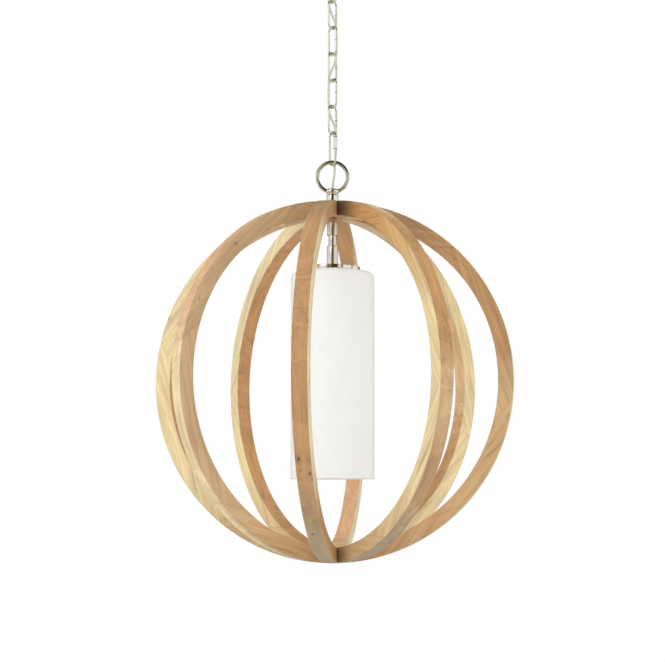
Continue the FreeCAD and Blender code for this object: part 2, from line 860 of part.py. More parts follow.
def build():
    """All nodes by name."""
    nodes, holes = flex_pieces()
    nodes["ceiling_strap"] = ceiling_strap()
    nodes["threaded_nipple"] = tube(pipe_diameter, pipe_bore, nipple_above, nipple_bottom)
    nodes["nipple_locknuts"] = nipple_locknuts()
    nodes["ground_screw"] = ground_screw()
    nodes["canopy"] = canopy()
    nodes["collar_loop"] = collar_loop(holes["collar"])
    nodes["collar_ring"] = collar_ring()
    nodes["supply_wires"] = conductors(supply_conductors, flex_above, conductor_rise, conductor_reach)
    nodes["wire_nuts"] = wire_nuts()
    for number in range(1, link_count + 1):
        nodes[f"chain_link_{number}"] = chain_link(number)
    nodes["quick_link"] = quick_link()
    nodes["quick_link_sleeve"] = quick_link_sleeve()
    nodes["hanging_ring"] = hanging_ring()
    nodes["loop_holder"] = loop_holder(holes["holder"])
    nodes["lamp_pipe"] = tube(pipe_diameter, pipe_bore, pipe_top, pipe_bottom)
    for index in range(ring_count):
        nodes["wood_ring_" + "abcdefgh"[index]] = wood_ring(index)
    nodes["upper_sleeve"] = stem_piece(sleeve_diameter, upper_sleeve_top, stem_tube_top, sleeve_top_edge)
    nodes["stem_tube"] = stem_piece(stem_tube_diameter, stem_tube_top, lower_sleeve_top)
    nodes["lower_sleeve"] = stem_piece(sleeve_diameter, lower_sleeve_top, seat_top)
    nodes["seat_washer"] = stem_piece(seat_diameter, seat_top, cap_top)
    nodes["shade_cap"] = shade_cap()
    nodes["glass_shade"] = glass_shade()
    nodes["shade_gasket"] = shade_gasket()
    nodes["shade_ring"] = shade_ring()
    nodes["lampholder_shell"] = lampholder_shell()
    nodes["lampholder_insulator"] = lampholder_insulator()
    nodes["terminal_screws"] = terminal_screws()
    nodes["screw_shell"] = screw_shell()
    nodes["centre_contact"] = rod(contact_diameter, insulator_bottom, contact_bottom)
    nodes["lampholder_leads"] = lampholder_leads()
    nodes["bulb_contact"] = rod(bulb_button_diameter, bulb_top, bulb_top - bulb_button_height)
    nodes["bulb_cap"] = bulb_cap()
    nodes["bulb_globe"] = bulb_globe()
    return nodes


def main():
    os.makedirs("parts", exist_ok=True)
    for name, shape in build().items():
        if not shape.isValid():
            print("not valid:", name)
        shape.exportStep(f"parts/{name}.step")
        box = shape.BoundBox
        print(name, len(shape.Solids), round(shape.Volume), round(box.ZMin, 2), round(box.ZMax, 2))
    print("pivots", round(eye_pivot, 3), [round(z, 3) for z in link_pivots],
          round(quick_pivot, 3), round(ring_pivot, 3))
    print("cage centre", round(cage_centre, 3), "glass top", round(glass_top, 3))


if __name__ == "__main__":
    main()
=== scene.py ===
"""Looks of a round wooden cage pendant, built around its packed model.

Laid out as a Blender add-on: the settings hold the sizes and colours, each operator builds a
piece or a group of like pieces, and the panel lists them. Places come from the packed model.
"""

import json
import math
import random

import bmesh
import bpy
from mathutils import Matrix, Quaternion, Vector


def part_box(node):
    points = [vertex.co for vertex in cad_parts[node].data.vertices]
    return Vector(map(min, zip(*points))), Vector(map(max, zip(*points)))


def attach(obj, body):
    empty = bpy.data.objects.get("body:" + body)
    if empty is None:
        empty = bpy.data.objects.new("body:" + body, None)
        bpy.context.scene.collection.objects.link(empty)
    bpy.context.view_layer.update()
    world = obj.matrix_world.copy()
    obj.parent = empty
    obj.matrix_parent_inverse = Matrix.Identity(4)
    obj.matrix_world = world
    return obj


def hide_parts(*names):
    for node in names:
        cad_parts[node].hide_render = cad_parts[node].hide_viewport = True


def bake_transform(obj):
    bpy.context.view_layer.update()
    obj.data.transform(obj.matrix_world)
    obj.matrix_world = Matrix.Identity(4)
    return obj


bl_info = {
    "name": "Wooden cage pendant",
    "version": (1, 0, 0),
    "blender": (4, 5, 0),
    "location": "3D View > Sidebar > Pendant",
    "description": "Builds the looks of a round wooden cage pendant around its packed model",
    "category": "Add Mesh",
}

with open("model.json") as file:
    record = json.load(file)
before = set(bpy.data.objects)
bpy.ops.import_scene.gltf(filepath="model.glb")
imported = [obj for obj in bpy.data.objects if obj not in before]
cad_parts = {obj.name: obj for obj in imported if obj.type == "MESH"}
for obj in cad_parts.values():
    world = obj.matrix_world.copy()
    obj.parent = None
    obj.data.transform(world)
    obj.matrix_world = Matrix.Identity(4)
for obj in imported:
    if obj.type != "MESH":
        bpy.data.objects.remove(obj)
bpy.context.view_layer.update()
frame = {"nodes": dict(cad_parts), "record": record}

MM = 0.001
UP = Vector((0, 0, 1))
ACROSS = Vector((1, 0, 0))


def level(node):
    """Outer radius, top and bottom of a turned node of the packed model."""
    low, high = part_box(node)
    return high.x, high.z, low.z


def srgb(*display):
    """Linear colour from 0 to 255 display values."""
    shares = [value / 255 for value in display]
    return tuple(s / 12.92 if s <= 0.04045 else ((s + 0.055) / 1.055) ** 2.4 for s in shares)


def number(name, description, default, **limits):
    return bpy.props.FloatProperty(name=name, description=description, default=default, **limits)


def length(name, description, default):
    return number(name, description, default, min=0, subtype="DISTANCE", unit="LENGTH", precision=4)


def angle(name, description, degrees):
    return number(name, description, math.radians(degrees), subtype="ANGLE", unit="ROTATION")


def share(name, description, default):
    return number(name, description, default, min=0, max=1, subtype="FACTOR")


def colour(name, description, *display):
    return bpy.props.FloatVectorProperty(name=name, description=description, default=srgb(*display),
                                         size=3, min=0, max=1, subtype="COLOR")


def count(name, description, default):
    return bpy.props.IntProperty(name=name, description=description, default=default, min=1)


# Settings


class HoopSettings(bpy.types.PropertyGroup):
    """Sizes and colours of the glued wooden hoops."""
    diameter: length("Diameter", "Outer diameter of each hoop", 559.9 * MM)
    depth: length("Depth", "Depth of the wood towards the middle", 23 * MM)
    width: length("Width", "Width of the wood across the hoop", 24 * MM)
    edge: length("Eased edge", "Radius of the sanded edges", 1.1 * MM)
    hoops: count("Hoops", "Number of hoops", 4)
    segments: count("Segments", "Glued segments in each hoop", 6)
    steps: count("Steps", "Steps along each segment", 34)
    turn: angle("Turn", "Turn of the first hoop from the front", -9.5)
    scarf: length("Scarf", "Length of the leaning glue joints", 36 * MM)
    lamination: length("Lamination", "Place of the glue line across the wood", 2.8 * MM)
    pole_hole: length("Pole hole", "Diameter of the hole for the lamp pipe", 10.2 * MM)
    brown: colour("Brown", "Sawn edges of the wood", 194, 149, 102)
    tan: colour("Tan", "Lighter flats", 218, 184, 138)
    pale: colour("Pale", "Palest flats", 238, 224, 184)
    yellow: colour("Yellow", "Yellowish flats", 238, 216, 166)
    grey: colour("Grey", "Greenish grey wood low on the cage", 160, 145, 116)
    orange: colour("Orange", "Orange wood", 210, 158, 96)
    pink: colour("Pink", "Pinkish laminations", 222, 178, 136)
    muted: colour("Muted", "Greyish brown edges", 204, 170, 128)
    # Painted shade: the dark brown of the shadow at the poles, where the hoops lap and cross
    painted_pole_shade: colour("Stain", "Dark stains at the poles", 84, 68, 54)
    knot: colour("Knots", "Knots, streaks and glue lines", 104, 74, 50)
    heart: colour("Heart", "Cores of the larger knots", 74, 56, 48)


class MetalSettings(bpy.types.PropertyGroup):
    """Colours and finish of the metal pieces."""
    nickel: colour("Nickel", "Polished nickel", 226, 222, 214)
    chain_nickel: colour("Chain", "Nickel of the chain and its links", 226, 225, 206)
    ring_nickel: colour("Ring", "Nickel of the hanging ring", 206, 203, 186)
    # Painted shade: a darker nickel for the upper sleeve, which sits in the shade under the wood
    shaded_sleeve_nickel: colour("Sleeve", "Nickel of the upper sleeve", 212, 211, 202)
    zinc: colour("Zinc", "Zinc-plated steel", 190, 194, 198)
    brass: colour("Brass", "Brass of the lampholder", 214, 178, 104)
    ground: colour("Earth screw", "Green of the earth screw", 56, 128, 72)
    polish: share("Polish", "Roughness of polished metal", 0.07)
    chain_polish: share("Chain polish", "Roughness of the chain", 0.05)
    marks: share("Marks", "Strength of the handling marks", 0.35)


class ShadeSettings(bpy.types.PropertyGroup):
    """Sizes and colours of the glass, the bulb and the lampholder."""
    opal: colour("Opal", "Opal white glass", 252, 254, 252)
    frosted: colour("Frosted", "Frosted bulb", 240, 240, 236)
    plastic: colour("Plastic", "Moulded lampholder", 238, 236, 230)
    ceramic: colour("Ceramic", "Insulator block", 232, 226, 214)
    fibre: colour("Fibre", "Gasket", 160, 140, 118)
    wall: length("Wall", "Thickness of the glass", 3 * MM)
    plate: length("Top", "Thickness of the glass under the cap", 4 * MM)
    shoulder_drop: length("Shoulder drop", "Fall of the sloping shoulder", 2.6 * MM)
    corner: length("Corner", "Radius of the round corner", 5 * MM)
    thread_pitch: length("Thread pitch", "Pitch of the screwed shell", 3 * MM)
    bulb_pitch: length("Bulb thread", "Pitch of the bulb's cap", 3.63 * MM)


class WireSettings(bpy.types.PropertyGroup):
    """Sizes of the chain, the ring and the flex."""
    wire: length("Wire", "Diameter of the chain wire", 3.1 * MM)
    link_width: length("Link width", "Outside width of a link", 19.5 * MM)
    seam: length("Seam", "Gap of the butt seam", 0.3 * MM)
    swelling: length("Swelling", "Height of the swelling over the butt seam", 0.6 * MM)
    quick_wire: length("Connector wire", "Diameter of the connector link's wire", 3.2 * MM)
    quick_width: length("Connector width", "Outside width of the connector", 18.2 * MM)
    quick_mouth: length("Connector mouth", "Opening behind the sleeve", 6 * MM)
    ring: length("Ring", "Outside diameter of the hanging ring", 53.0 * MM)
    ring_wire: length("Ring wire", "Diameter of the ring's wire", 5.6 * MM)
    eye: length("Eye", "Radius to the middle of the eye's wire", 9.5 * MM)
    eye_wire: length("Eye wire", "Diameter of the eye's wire", 4.2 * MM)
    sides: count("Sides", "Sides of a round wire", 20)
    flex: length("Flex", "Diameter of the flex", 3.6 * MM)
    flex_bend: length("Flex bend", "Height over which the flex bends at a joint", 16 * MM)
    flex_clear: colour("Flex", "Clear insulation over tinned cores", 226, 224, 202)
    insulation: colour("Insulation", "Insulation of the supply wires", 236, 234, 228)
    connector: colour("Connectors", "Wire connectors", 206, 120, 46)


class StageSettings(bpy.types.PropertyGroup):
    """Camera, light and floor."""
    distance: length("Distance", "Distance from the camera to the cage's middle", 2.53)
    pitch: angle("Pitch", "Height of the camera, negative from below", -4.1)
    lens: number("Lens", "Focal length on a 36 mm sensor", 88.26, min=1, unit="CAMERA")
    shift_y: number("Shift Y", "Upward shift of the picture", 0.0762)
    ambient: number("Ambient", "Strength of the even light", 1.0, min=0)
    key: number("Key light", "Power of the soft lamp", 12, min=0, unit="POWER")
    band: colour("Dark studio", "What polished metal shows of the studio beside its white panels",
                 66, 64, 54)
    floor: colour("Floor", "Pale floor", 238, 238, 238)
    floor_height: number("Floor height", "Height of the floor", -2.4, subtype="DISTANCE", unit="LENGTH")
    floor_radius: length("Floor radius", "Radius of the floor", 3.0)


# Node trees


class Net:
    """The nodes of a tree, with a short way to add each kind that is used often."""

    def __init__(self, tree):
        self.tree = tree

    def put(self, socket, value):
        """Sets an input to a value, or links it from another socket."""
        if isinstance(value, bpy.types.NodeSocket):
            self.tree.links.new(value, socket)
        elif socket.type == "RGBA" and len(value) == 3:
            socket.default_value = (*value, 1)
        else:
            socket.default_value = value

    def add(self, kind, inputs=None, **fields):
        """Adds a node with its fields and its inputs, which are named or numbered."""
        node = self.tree.nodes.new(kind)
        for field, value in fields.items():
            setattr(node, field, value)
        for key, value in (inputs or {}).items():
            self.put(node.inputs[key], value)
        return node

    def first(self, kind, inputs=None, **fields):
        """First output of a new node."""
        return self.add(kind, inputs, **fields).outputs[0]

    def shared(self, make, name, inputs):
        """Outputs of a shared shader group."""
        return self.add("ShaderNodeGroup", inputs, node_tree=group(make, name)).outputs

    def place(self):
        """Place on the object."""
        return self.add("ShaderNodeTexCoord").outputs["Object"]

    def calc(self, operation, *values):
        """Output of a Math node."""
        return self.first("ShaderNodeMath", dict(enumerate(values)), operation=operation)

    def mul(self, one, other):
        return self.calc("MULTIPLY", one, other)

    def plus(self, one, other):
        return self.calc("ADD", one, other)

    def less(self, one, other):
        return self.calc("SUBTRACT", one, other)

    def most(self, one, other):
        return self.calc("MAXIMUM", one, other)

    def mul_add(self, value, factor, more):
        return self.calc("MULTIPLY_ADD", value, factor, more)

    def vector(self, operation, *values):
        """Vector from a Vector Math node, or its value where it gives only that."""
        node = self.add("ShaderNodeVectorMath", dict(enumerate(values)), operation=operation)
        return node.outputs["Value" if operation in ("DOT_PRODUCT", "LENGTH") else "Vector"]

    def scaled(self, vector, factor):
        return self.first("ShaderNodeVectorMath", {0: vector, "Scale": factor}, operation="SCALE")

    def ease(self, value, low, high, start=0.0, end=1.0):
        """Value eased from one range to another."""
        inputs = {"Value": value, "From Min": low, "From Max": high, "To Min": start, "To Max": end}
        return self.first("ShaderNodeMapRange", inputs, interpolation_type="SMOOTHSTEP")

    def blend(self, factor, one, other, kind="MIX"):
        """Colour blended from one towards the other."""
        node = self.add("ShaderNodeMix", data_type="RGBA", blend_type=kind)
        values = {"Factor_Float": factor, "A_Color": one, "B_Color": other}
        for socket in node.inputs:
            if socket.identifier in values:
                self.put(socket, values[socket.identifier])
        return next(s for s in node.outputs if s.identifier == "Result_Color")

    def noise(self, vector, scale, detail=2.0, roughness=0.5):
        """Noise on a stretched vector."""
        inputs = {"Vector": self.vector("MULTIPLY", vector, scale), "Scale": 1.0, "Detail": detail,
                  "Roughness": roughness}
        return self.add("ShaderNodeTexNoise", inputs).outputs["Fac"]

    def relief(self, surface, height, strength, distance):
        """Leads a height to a shader's normal."""
        inputs = {"Strength": strength, "Distance": distance, "Height": height}
        self.put(surface["Normal"], self.first("ShaderNodeBump", inputs))

    def end(self, geometry, given, out):
        """Ends a geometry tree, realised and in the material that it is given."""
        whole = self.first("GeometryNodeRealizeInstances", {"Geometry": geometry})
        inputs = {"Geometry": whole, "Material": given["Material"]}
        self.put(out[0], self.first("GeometryNodeSetMaterial", inputs))


def new_group(name, inputs, outputs, kind="ShaderNodeTree"):
    """Node group with named sockets: its nodes, the values given to it and those it puts out."""
    tree = bpy.data.node_groups.new(name, kind)
    for label, socket, *default in inputs:
        item = tree.interface.new_socket(label, in_out="INPUT", socket_type="NodeSocket" + socket)
        if default:
            item.default_value = default[0]
    for label, socket in outputs:
        tree.interface.new_socket(label, in_out="OUTPUT", socket_type="NodeSocket" + socket)
    given, out = tree.nodes.new("NodeGroupInput"), tree.nodes.new("NodeGroupOutput")
    return Net(tree), given.outputs, out.inputs


def group(make, name):
    """The shared node group, built the first time that it is needed."""
    return bpy.data.node_groups.get(name) or make()


def grain_group():
    """Wood grain: streaks, growth bands, pores, knots, patches and glue lines."""
    net, given, out = new_group(
        "Wood grain",
        [("Grain", "Vector"), ("Tone", "Color", (0.5, 0.4, 0.3, 1)),
         ("Marks", "Vector"), ("Knot colour", "Color", (0.1, 0.07, 0.04, 1)),
         ("Lamination", "Float", 0.0028)],
        [("Colour", "Color"), ("Roughness", "Float"), ("Height", "Float")])
    grain, knot = given["Grain"], given["Knot colour"]
    marks = net.add("ShaderNodeSeparateXYZ", {0: given["Marks"]}).outputs
    warp = net.noise(grain, (7, 18, 18), 1.0)
    lean = net.first("ShaderNodeCombineXYZ", {1: net.mul(warp, 0.016), 2: net.mul(warp, 0.011)})
    bent = net.vector("ADD", grain, lean)
    streaks = net.noise(bent, (10, 420, 420), 4.0, 0.62)
    broad = net.noise(bent, (5, 110, 110))
    bands = {"Vector": net.vector("MULTIPLY", bent, (2, 26, 11)), "Scale": 1.0, "Distortion": 3.5,
             "Detail": 2.0, "Detail Scale": 1.4}
    wave = net.add("ShaderNodeTexWave", bands, wave_type="BANDS", bands_direction="Y",
                   wave_profile="SAW").outputs["Fac"]
    pores = net.ease(net.noise(bent, (90, 2400, 2400), 1.0), 0.62, 0.74)
    cross = net.ease(net.noise(grain, (700, 60, 60)), 0.6, 0.75)
    patches = net.noise(grain, (14, 36, 36))
    value = 1.0
    for layer, middle, strength in ((streaks, 0.5, 0.62), (broad, 0.5, 0.42), (wave, 0.5, 0.13),
                                    (pores, 0.0, -0.17), (cross, 0.0, -0.05), (patches, 0.5, 0.42)):
        value = net.mul_add(net.less(layer, middle), strength, value)
    lit = net.scaled(given["Tone"], value)
    cells = net.add("ShaderNodeTexVoronoi",
                    {"Vector": net.vector("MULTIPLY", bent, (20, 38, 38)), "Scale": 1.0}).outputs
    chosen = net.ease(net.first("ShaderNodeSeparateColor", {0: cells["Color"]}), 0.96, 0.97)
    core = net.ease(cells["Distance"], 0.05, 0.11, 1.0, 0.0)
    halo = net.ease(cells["Distance"], 0.08, 0.26, 0.35, 0.0)
    ring = net.mul(net.most(core, halo), chosen)
    tail = net.ease(net.noise(bent, (9, 190, 190), 1.0), 0.66, 0.76)
    dark = net.most(net.mul(ring, 0.55), net.mul(tail, 0.34))
    body = net.blend(dark, lit, knot)
    warm = net.blend(0.35, body, (1.0, 0.86, 0.66), "MULTIPLY")
    shift = net.ease(net.noise(grain, (11, 24, 24), 1.0), 0.56, 0.72)
    body = net.blend(net.mul(shift, 0.5), body, warm)
    ragged = net.mul_add(net.noise(grain, (600, 600, 600), 1.0), 0.0005, -0.0001)
    glue = net.ease(net.less(marks["X"], ragged), 0.0, 0.0005, 0.3, 0.0)
    offset = net.calc("ABSOLUTE", net.plus(marks["Y"], given["Lamination"]))
    seam = net.mul(net.ease(offset, 0.0001, 0.0006, 0.45, 0.0), marks["Z"])
    line = net.most(glue, seam)
    net.put(out["Colour"], net.blend(line, body, knot))
    net.put(out["Roughness"], net.mul_add(pores, 0.12, net.mul_add(streaks, -0.16, 0.62)))
    net.put(out["Height"], net.mul_add(line, -1.2, net.mul_add(pores, -0.5, streaks)))
    return net.tree


def marks_group():
    """Handling marks: soft smudges, fine hairlines and specks on a smooth surface."""
    net, given, out = new_group(
        "Handling marks",
        [("Vector", "Vector"), ("Base", "Float", 0.1), ("Amount", "Float", 0.3)],
        [("Roughness", "Float"), ("Shade", "Float"), ("Height", "Float")])
    place, amount = given["Vector"], given["Amount"]
    smudge = net.ease(net.noise(place, (38, 38, 26), 3.0, 0.6), 0.42, 0.7)
    hair = net.ease(net.noise(place, (260, 260, 2200), 2.0, 0.6), 0.58, 0.8)
    speck = net.ease(net.noise(place, (1500, 1500, 1500), 1.0), 0.68, 0.8)
    rough = net.mul_add(speck, 0.15, net.plus(net.mul(smudge, 0.14), net.mul(hair, 0.12)))
    net.put(out["Roughness"], net.plus(net.mul(rough, amount), given["Base"]))
    shade = net.plus(net.mul(smudge, 0.1), net.mul(speck, 0.25))
    net.put(out["Shade"], net.less(1.0, net.mul(shade, amount)))
    net.put(out["Height"], net.plus(hair, speck))
    return net.tree


def knot_group():
    """One knot: a dark core stretched along the wood, with a softer halo."""
    net, given, out = new_group(
        "Placed knot",
        [("Place", "Vector"), ("Middle", "Vector"), ("Along", "Vector"),
         ("Core", "Float", 0.002), ("Squeeze", "Float", 0.6)],
        [("Mask", "Float")])
    size, squeeze = given["Core"], given["Squeeze"]
    ragged = net.add("ShaderNodeTexNoise", {"Vector": given["Place"], "Scale": 260.0}).outputs["Color"]
    shake = net.scaled(net.vector("SUBTRACT", ragged, (0.5, 0.5, 0.5)), net.mul(size, 1.1))
    off = net.vector("SUBTRACT", net.vector("ADD", given["Place"], shake), given["Middle"])
    run = net.vector("DOT_PRODUCT", off, given["Along"])
    whole = net.vector("LENGTH", off)
    beside = net.calc("SQRT", net.most(0.0, net.less(net.mul(whole, whole), net.mul(run, run))))
    squeezed = net.mul(run, squeeze)
    far = net.calc("SQRT", net.plus(net.mul(beside, beside), net.mul(squeezed, squeezed)))
    ratio = net.calc("DIVIDE", far, size)
    core = net.ease(ratio, 0.55, 1.15, 0.85, 0.0)
    halo = net.ease(ratio, 0.8, 2.8, 0.3, 0.0)
    strength = net.ease(squeeze, 0.1, 0.5, 0.4, 1.0)
    net.put(out["Mask"], net.mul(strength, net.most(core, halo)))
    return net.tree


def wire_tree():
    """Geometry tree that turns the edges of a mesh into a round wire with closed ends."""
    net, given, out = new_group(
        "Round wire on a path",
        [("Geometry", "Geometry"), ("Diameter", "Float", 0.003), ("Sides", "Int", 20),
         ("Material", "Material")],
        [("Geometry", "Geometry")], "GeometryNodeTree")
    path = net.first("GeometryNodeMeshToCurve", {"Mesh": given["Geometry"]})
    section = net.first("GeometryNodeCurvePrimitiveCircle",
                        {"Resolution": given["Sides"], "Radius": net.mul(given["Diameter"], 0.5)})
    wire = net.first("GeometryNodeCurveToMesh",
                     {"Curve": path, "Profile Curve": section, "Fill Caps": True})
    net.end(net.first("GeometryNodeSetShadeSmooth", {"Geometry": wire}), given, out)
    return net.tree


def knurl_tree():
    """Geometry tree that sets ridges round a ring, as its knurl."""
    net, given, out = new_group(
        "Knurl ridges",
        [("Geometry", "Geometry"), ("Ridges", "Int", 72), ("Radius", "Float", 0.017),
         ("Height", "Float", 0.0056), ("Depth", "Float", 0.0009), ("Level", "Float", 0.0),
         ("Material", "Material")],
        [("Geometry", "Geometry")], "GeometryNodeTree")
    ring = net.first("GeometryNodeMeshCircle", {"Vertices": given["Ridges"], "Radius": given["Radius"]})
    place = net.first("ShaderNodeCombineXYZ", {2: given["Level"]})
    lifted = net.first("GeometryNodeTransform", {"Geometry": ring, "Translation": place})
    ridge = net.first("GeometryNodeMeshCylinder",
                      {"Vertices": 6, "Radius": given["Depth"], "Depth": given["Height"]})
    flat = net.vector("MULTIPLY", net.first("GeometryNodeInputPosition"), (1, 1, 0))
    turn = net.first("FunctionNodeAlignRotationToVector", {"Vector": flat}, axis="X")
    placed = net.first("GeometryNodeInstanceOnPoints",
                       {"Points": lifted, "Instance": ridge, "Rotation": turn})
    both = net.add("GeometryNodeJoinGeometry")
    for geometry in (given["Geometry"], placed):
        net.put(both.inputs[0], geometry)
    net.end(both.outputs[0], given, out)
    return net.tree


# Materials


def new_material(name):
    """A new material, with its nodes and the inputs of its shader."""
    material = bpy.data.materials.new(name)
    material.use_nodes = True
    tree = material.node_tree
    return material, Net(tree), tree.nodes["Principled BSDF"].inputs


def wood_material(settings, centre):
    """Clear-finished wood whose grain, tone and glue lines come from the hoop's attributes."""
    found = bpy.data.materials.get("hoop_wood")
    if found:
        return found
    material, net, surface = new_material("hoop_wood")

    def attribute(name, kind):
        return net.add("ShaderNodeAttribute", attribute_name=name).outputs[kind]

    grain = net.shared(grain_group, "Wood grain", {
        "Grain": attribute("grain", "Vector"), "Tone": attribute("tone", "Color"),
        "Marks": attribute("marks", "Vector"), "Knot colour": tuple(settings.knot),
        "Lamination": settings.lamination})
    place = net.place()
    dark = None
    for knot in knot_places(settings, centre):
        mask = net.shared(knot_group, "Placed knot", {"Place": place, **knot})[0]
        dark = net.most(dark, mask) if dark else mask
    net.put(surface["Base Color"], net.blend(dark, grain["Colour"], tuple(settings.heart)))
    net.put(surface["Roughness"], grain["Roughness"])
    net.relief(surface, grain["Height"], 0.35, 0.4 * MM)
    surface["Specular IOR Level"].default_value = 0.35
    return material


def marked_material(name, base, roughness, amount, metallic=0.0, bump=0.12, **sockets):
    """A smooth material with handling marks in its roughness, shade and surface.

    Its name differs from the packed model's own plain material for the same slot.
    """
    name = "finish_" + name
    found = bpy.data.materials.get(name)
    if found:
        return found
    material, net, surface = new_material(name)
    marks = net.shared(marks_group, "Handling marks",
                       {"Vector": net.place(), "Base": roughness, "Amount": amount})
    net.put(surface["Base Color"], net.scaled(tuple(base), marks["Shade"]))
    net.put(surface["Roughness"], marks["Roughness"])
    net.relief(surface, marks["Height"], bump, 0.1 * MM)
    surface["Metallic"].default_value = metallic
    for label, value in sockets.items():
        surface[label.replace("_", " ")].default_value = value
    return material


def polished(name, base, metal):
    return marked_material(name, base, metal.polish, metal.marks, metallic=1.0, bump=0.03)


def nickel(metal):
    return polished("polished_nickel", metal.nickel, metal)


def chain_finish(metal):
    return marked_material("chain_nickel", metal.chain_nickel, metal.chain_polish, metal.marks,
                           metallic=1.0)


def zinc(metal):
    return marked_material("zinc_steel", metal.zinc, 0.34, 1.0, metallic=1.0)


def brass(metal):
    return marked_material("brass", metal.brass, 0.26, 0.6, metallic=1.0)


def opal(shade):
    return marked_material("opal_glass", shade.opal, 0.3, 0.2, bump=0.02, Transmission_Weight=0.04,
                           Specular_IOR_Level=0.08, IOR=1.45)


def plastic(shade):
    return marked_material("lampholder_plastic", shade.plastic, 0.38, 0.8)


def insulation(wires):
    return marked_material("conductor_insulation", wires.insulation, 0.4, 0.6)


# Mesh building

# A point nearer to the axis than this is on it, in metres
ON_AXIS = 1e-9

# How far cutters reach past the wood or metal that they cut
OVER = 2 * MM

# An edge is smooth up to this angle between its faces
SMOOTH_DEG = 32


def new_object(name, data):
    obj = bpy.data.objects.new(name, data)
    bpy.context.scene.collection.objects.link(obj)
    return obj


def mesh_object(name, vertices, faces, material=None, smooth_deg=SMOOTH_DEG):
    """Object with smooth faces, sharp where they turn more than an angle."""
    mesh = bpy.data.meshes.new(name)
    mesh.from_pydata(vertices, [], faces)
    mesh.validate()
    for polygon in mesh.polygons:
        polygon.use_smooth = True
    mesh.set_sharp_from_angle(angle=math.radians(smooth_deg))
    if material:
        mesh.materials.append(material)
    return new_object(name, mesh)


def shape_object(name, shape, *materials):
    """Object from a bmesh, which is freed."""
    mesh = bpy.data.meshes.new(name)
    shape.to_mesh(mesh)
    shape.free()
    for material in materials:
        mesh.materials.append(material)
    return new_object(name, mesh)


def remove(objects):
    for obj in objects:
        bpy.data.objects.remove(obj)


def evaluated_mesh(obj):
    return bpy.data.meshes.new_from_object(obj.evaluated_get(bpy.context.evaluated_depsgraph_get()))


def settle(obj):
    """Turns the evaluated object into a plain mesh and takes its modifiers off."""
    mesh = evaluated_mesh(obj)
    obj.modifiers.clear()
    obj.data = mesh
    return obj


def apply_tree(obj, make, name, values):
    """Runs a geometry tree on the object, with its inputs by name, and keeps the result."""
    tree = group(make, name)
    modifier = obj.modifiers.new(name, "NODES")
    modifier.node_group = tree
    for item in tree.interface.items_tree:
        if item.in_out == "INPUT" and item.name in values:
            modifier[item.identifier] = values[item.name]
    return settle(obj)


def carve(obj, cutters):
    """Takes the cutters' shapes out of a solid."""
    for cutter in cutters:
        cut = obj.modifiers.new("cut", "BOOLEAN")
        cut.operation = "DIFFERENCE"
        cut.solver = "EXACT"
        cut.object = cutter
    return settle(obj)


def joined(name, objects):
    """One object from several."""
    whole = bmesh.new()
    materials = list(objects[0].data.materials)
    for obj in objects:
        whole.from_mesh(obj.data)
    result = shape_object(name, whole, *materials)
    remove(objects)
    return result


def finished(obj, body, node):
    """Puts a piece on its body and hides the node that it stands for."""
    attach(obj, body)
    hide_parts(node)


def paint(node, material):
    """Gives a node of the packed model a better material."""
    obj = frame["nodes"][node]
    for place in obj.material_slots:
        place.material = material
    if not obj.material_slots:
        obj.data.materials.append(material)


def body_of(node):
    return next(body for body, nodes in frame["record"]["behaviour"]["bodies"].items() if node in nodes)


def rounded(outline, steps=5):
    """Plain points of an outline whose corners are (radius, height, rounding)."""
    points = []
    for n, (radius, height, rounding) in enumerate(outline):
        corner = Vector((radius, height))
        if not rounding:
            points.append(corner)
            continue
        back = (Vector(outline[n - 1][:2]) - corner).normalized()
        ahead = (Vector(outline[(n + 1) % len(outline)][:2]) - corner).normalized()
        half = back.angle(ahead) / 2
        centre = corner + (back + ahead).normalized() * (rounding / math.sin(half))
        start = corner + back * (rounding / math.tan(half)) - centre
        end = corner + ahead * (rounding / math.tan(half)) - centre
        points.extend(centre + start.slerp(end, k / steps) * start.length for k in range(steps + 1))
    return points


def skin(rows, closed=False):
    """Faces between rows of vertices. A row on the axis is one vertex over and over."""
    faces = []
    size = len(rows[0])
    for row, ahead in zip(rows, [*rows[1:], rows[0]] if closed else rows[1:]):
        for k in range(size):
            m = (k + 1) % size
            corners = [row[k], row[m], ahead[m], ahead[k]]
            face = [c for i, c in enumerate(corners) if c != corners[i - 1]]
            if len(face) > 2:
                faces.append(face)
    return faces


def turned(name, points, material, around=96, thread=None, smooth_deg=SMOOTH_DEG):
    """Piece turned about the Z axis from a closed outline of (radius, height) points.

    A thread is (top, bottom, pitch, depth): between those heights the radius falls and rises
    along a helix.
    """
    def radius_at(radius, height, turn):
        if thread is None:
            return radius
        top, bottom, pitch, depth = thread
        if not bottom <= height <= top:
            return radius
        fade = min(1, (top - height) / pitch, (height - bottom) / pitch)
        wave = 0.5 - 0.5 * math.cos(math.tau * (height / pitch - turn / math.tau))
        return radius - depth * fade * wave

    points = [Vector(p) for p in points]
    area = sum(p.cross(points[(n + 1) % len(points)]) for n, p in enumerate(points))
    if area < 0:
        points.reverse()
    vertices, rows = [], []
    for outline_radius, height in points:
        first = len(vertices)
        if outline_radius < ON_AXIS:
            rows.append([first] * around)
            vertices.append((0, 0, height))
            continue
        rows.append(range(first, first + around))
        for k in range(around):
            turn = math.tau * k / around
            radius = radius_at(outline_radius, height, turn)
            vertices.append((radius * math.cos(turn), radius * math.sin(turn), height))
    return mesh_object(name, vertices, skin(rows, closed=True), material, smooth_deg)


def bar(radius, top, bottom, around):
    """Round bar on the axis, as a temporary cutter."""
    return turned("cutter", [(0, top), (radius, top), (radius, bottom), (0, bottom)], None, around)


def threaded_wall(radius, top, bottom, pitch, depth, step):
    """Points down a wall, close enough together to carry a thread, and the thread on it."""
    rows = max(2, round((top - bottom) / step))
    points = [(radius, top + (bottom - top) * k / rows) for k in range(rows + 1)]
    return points, (top, bottom, pitch, depth)


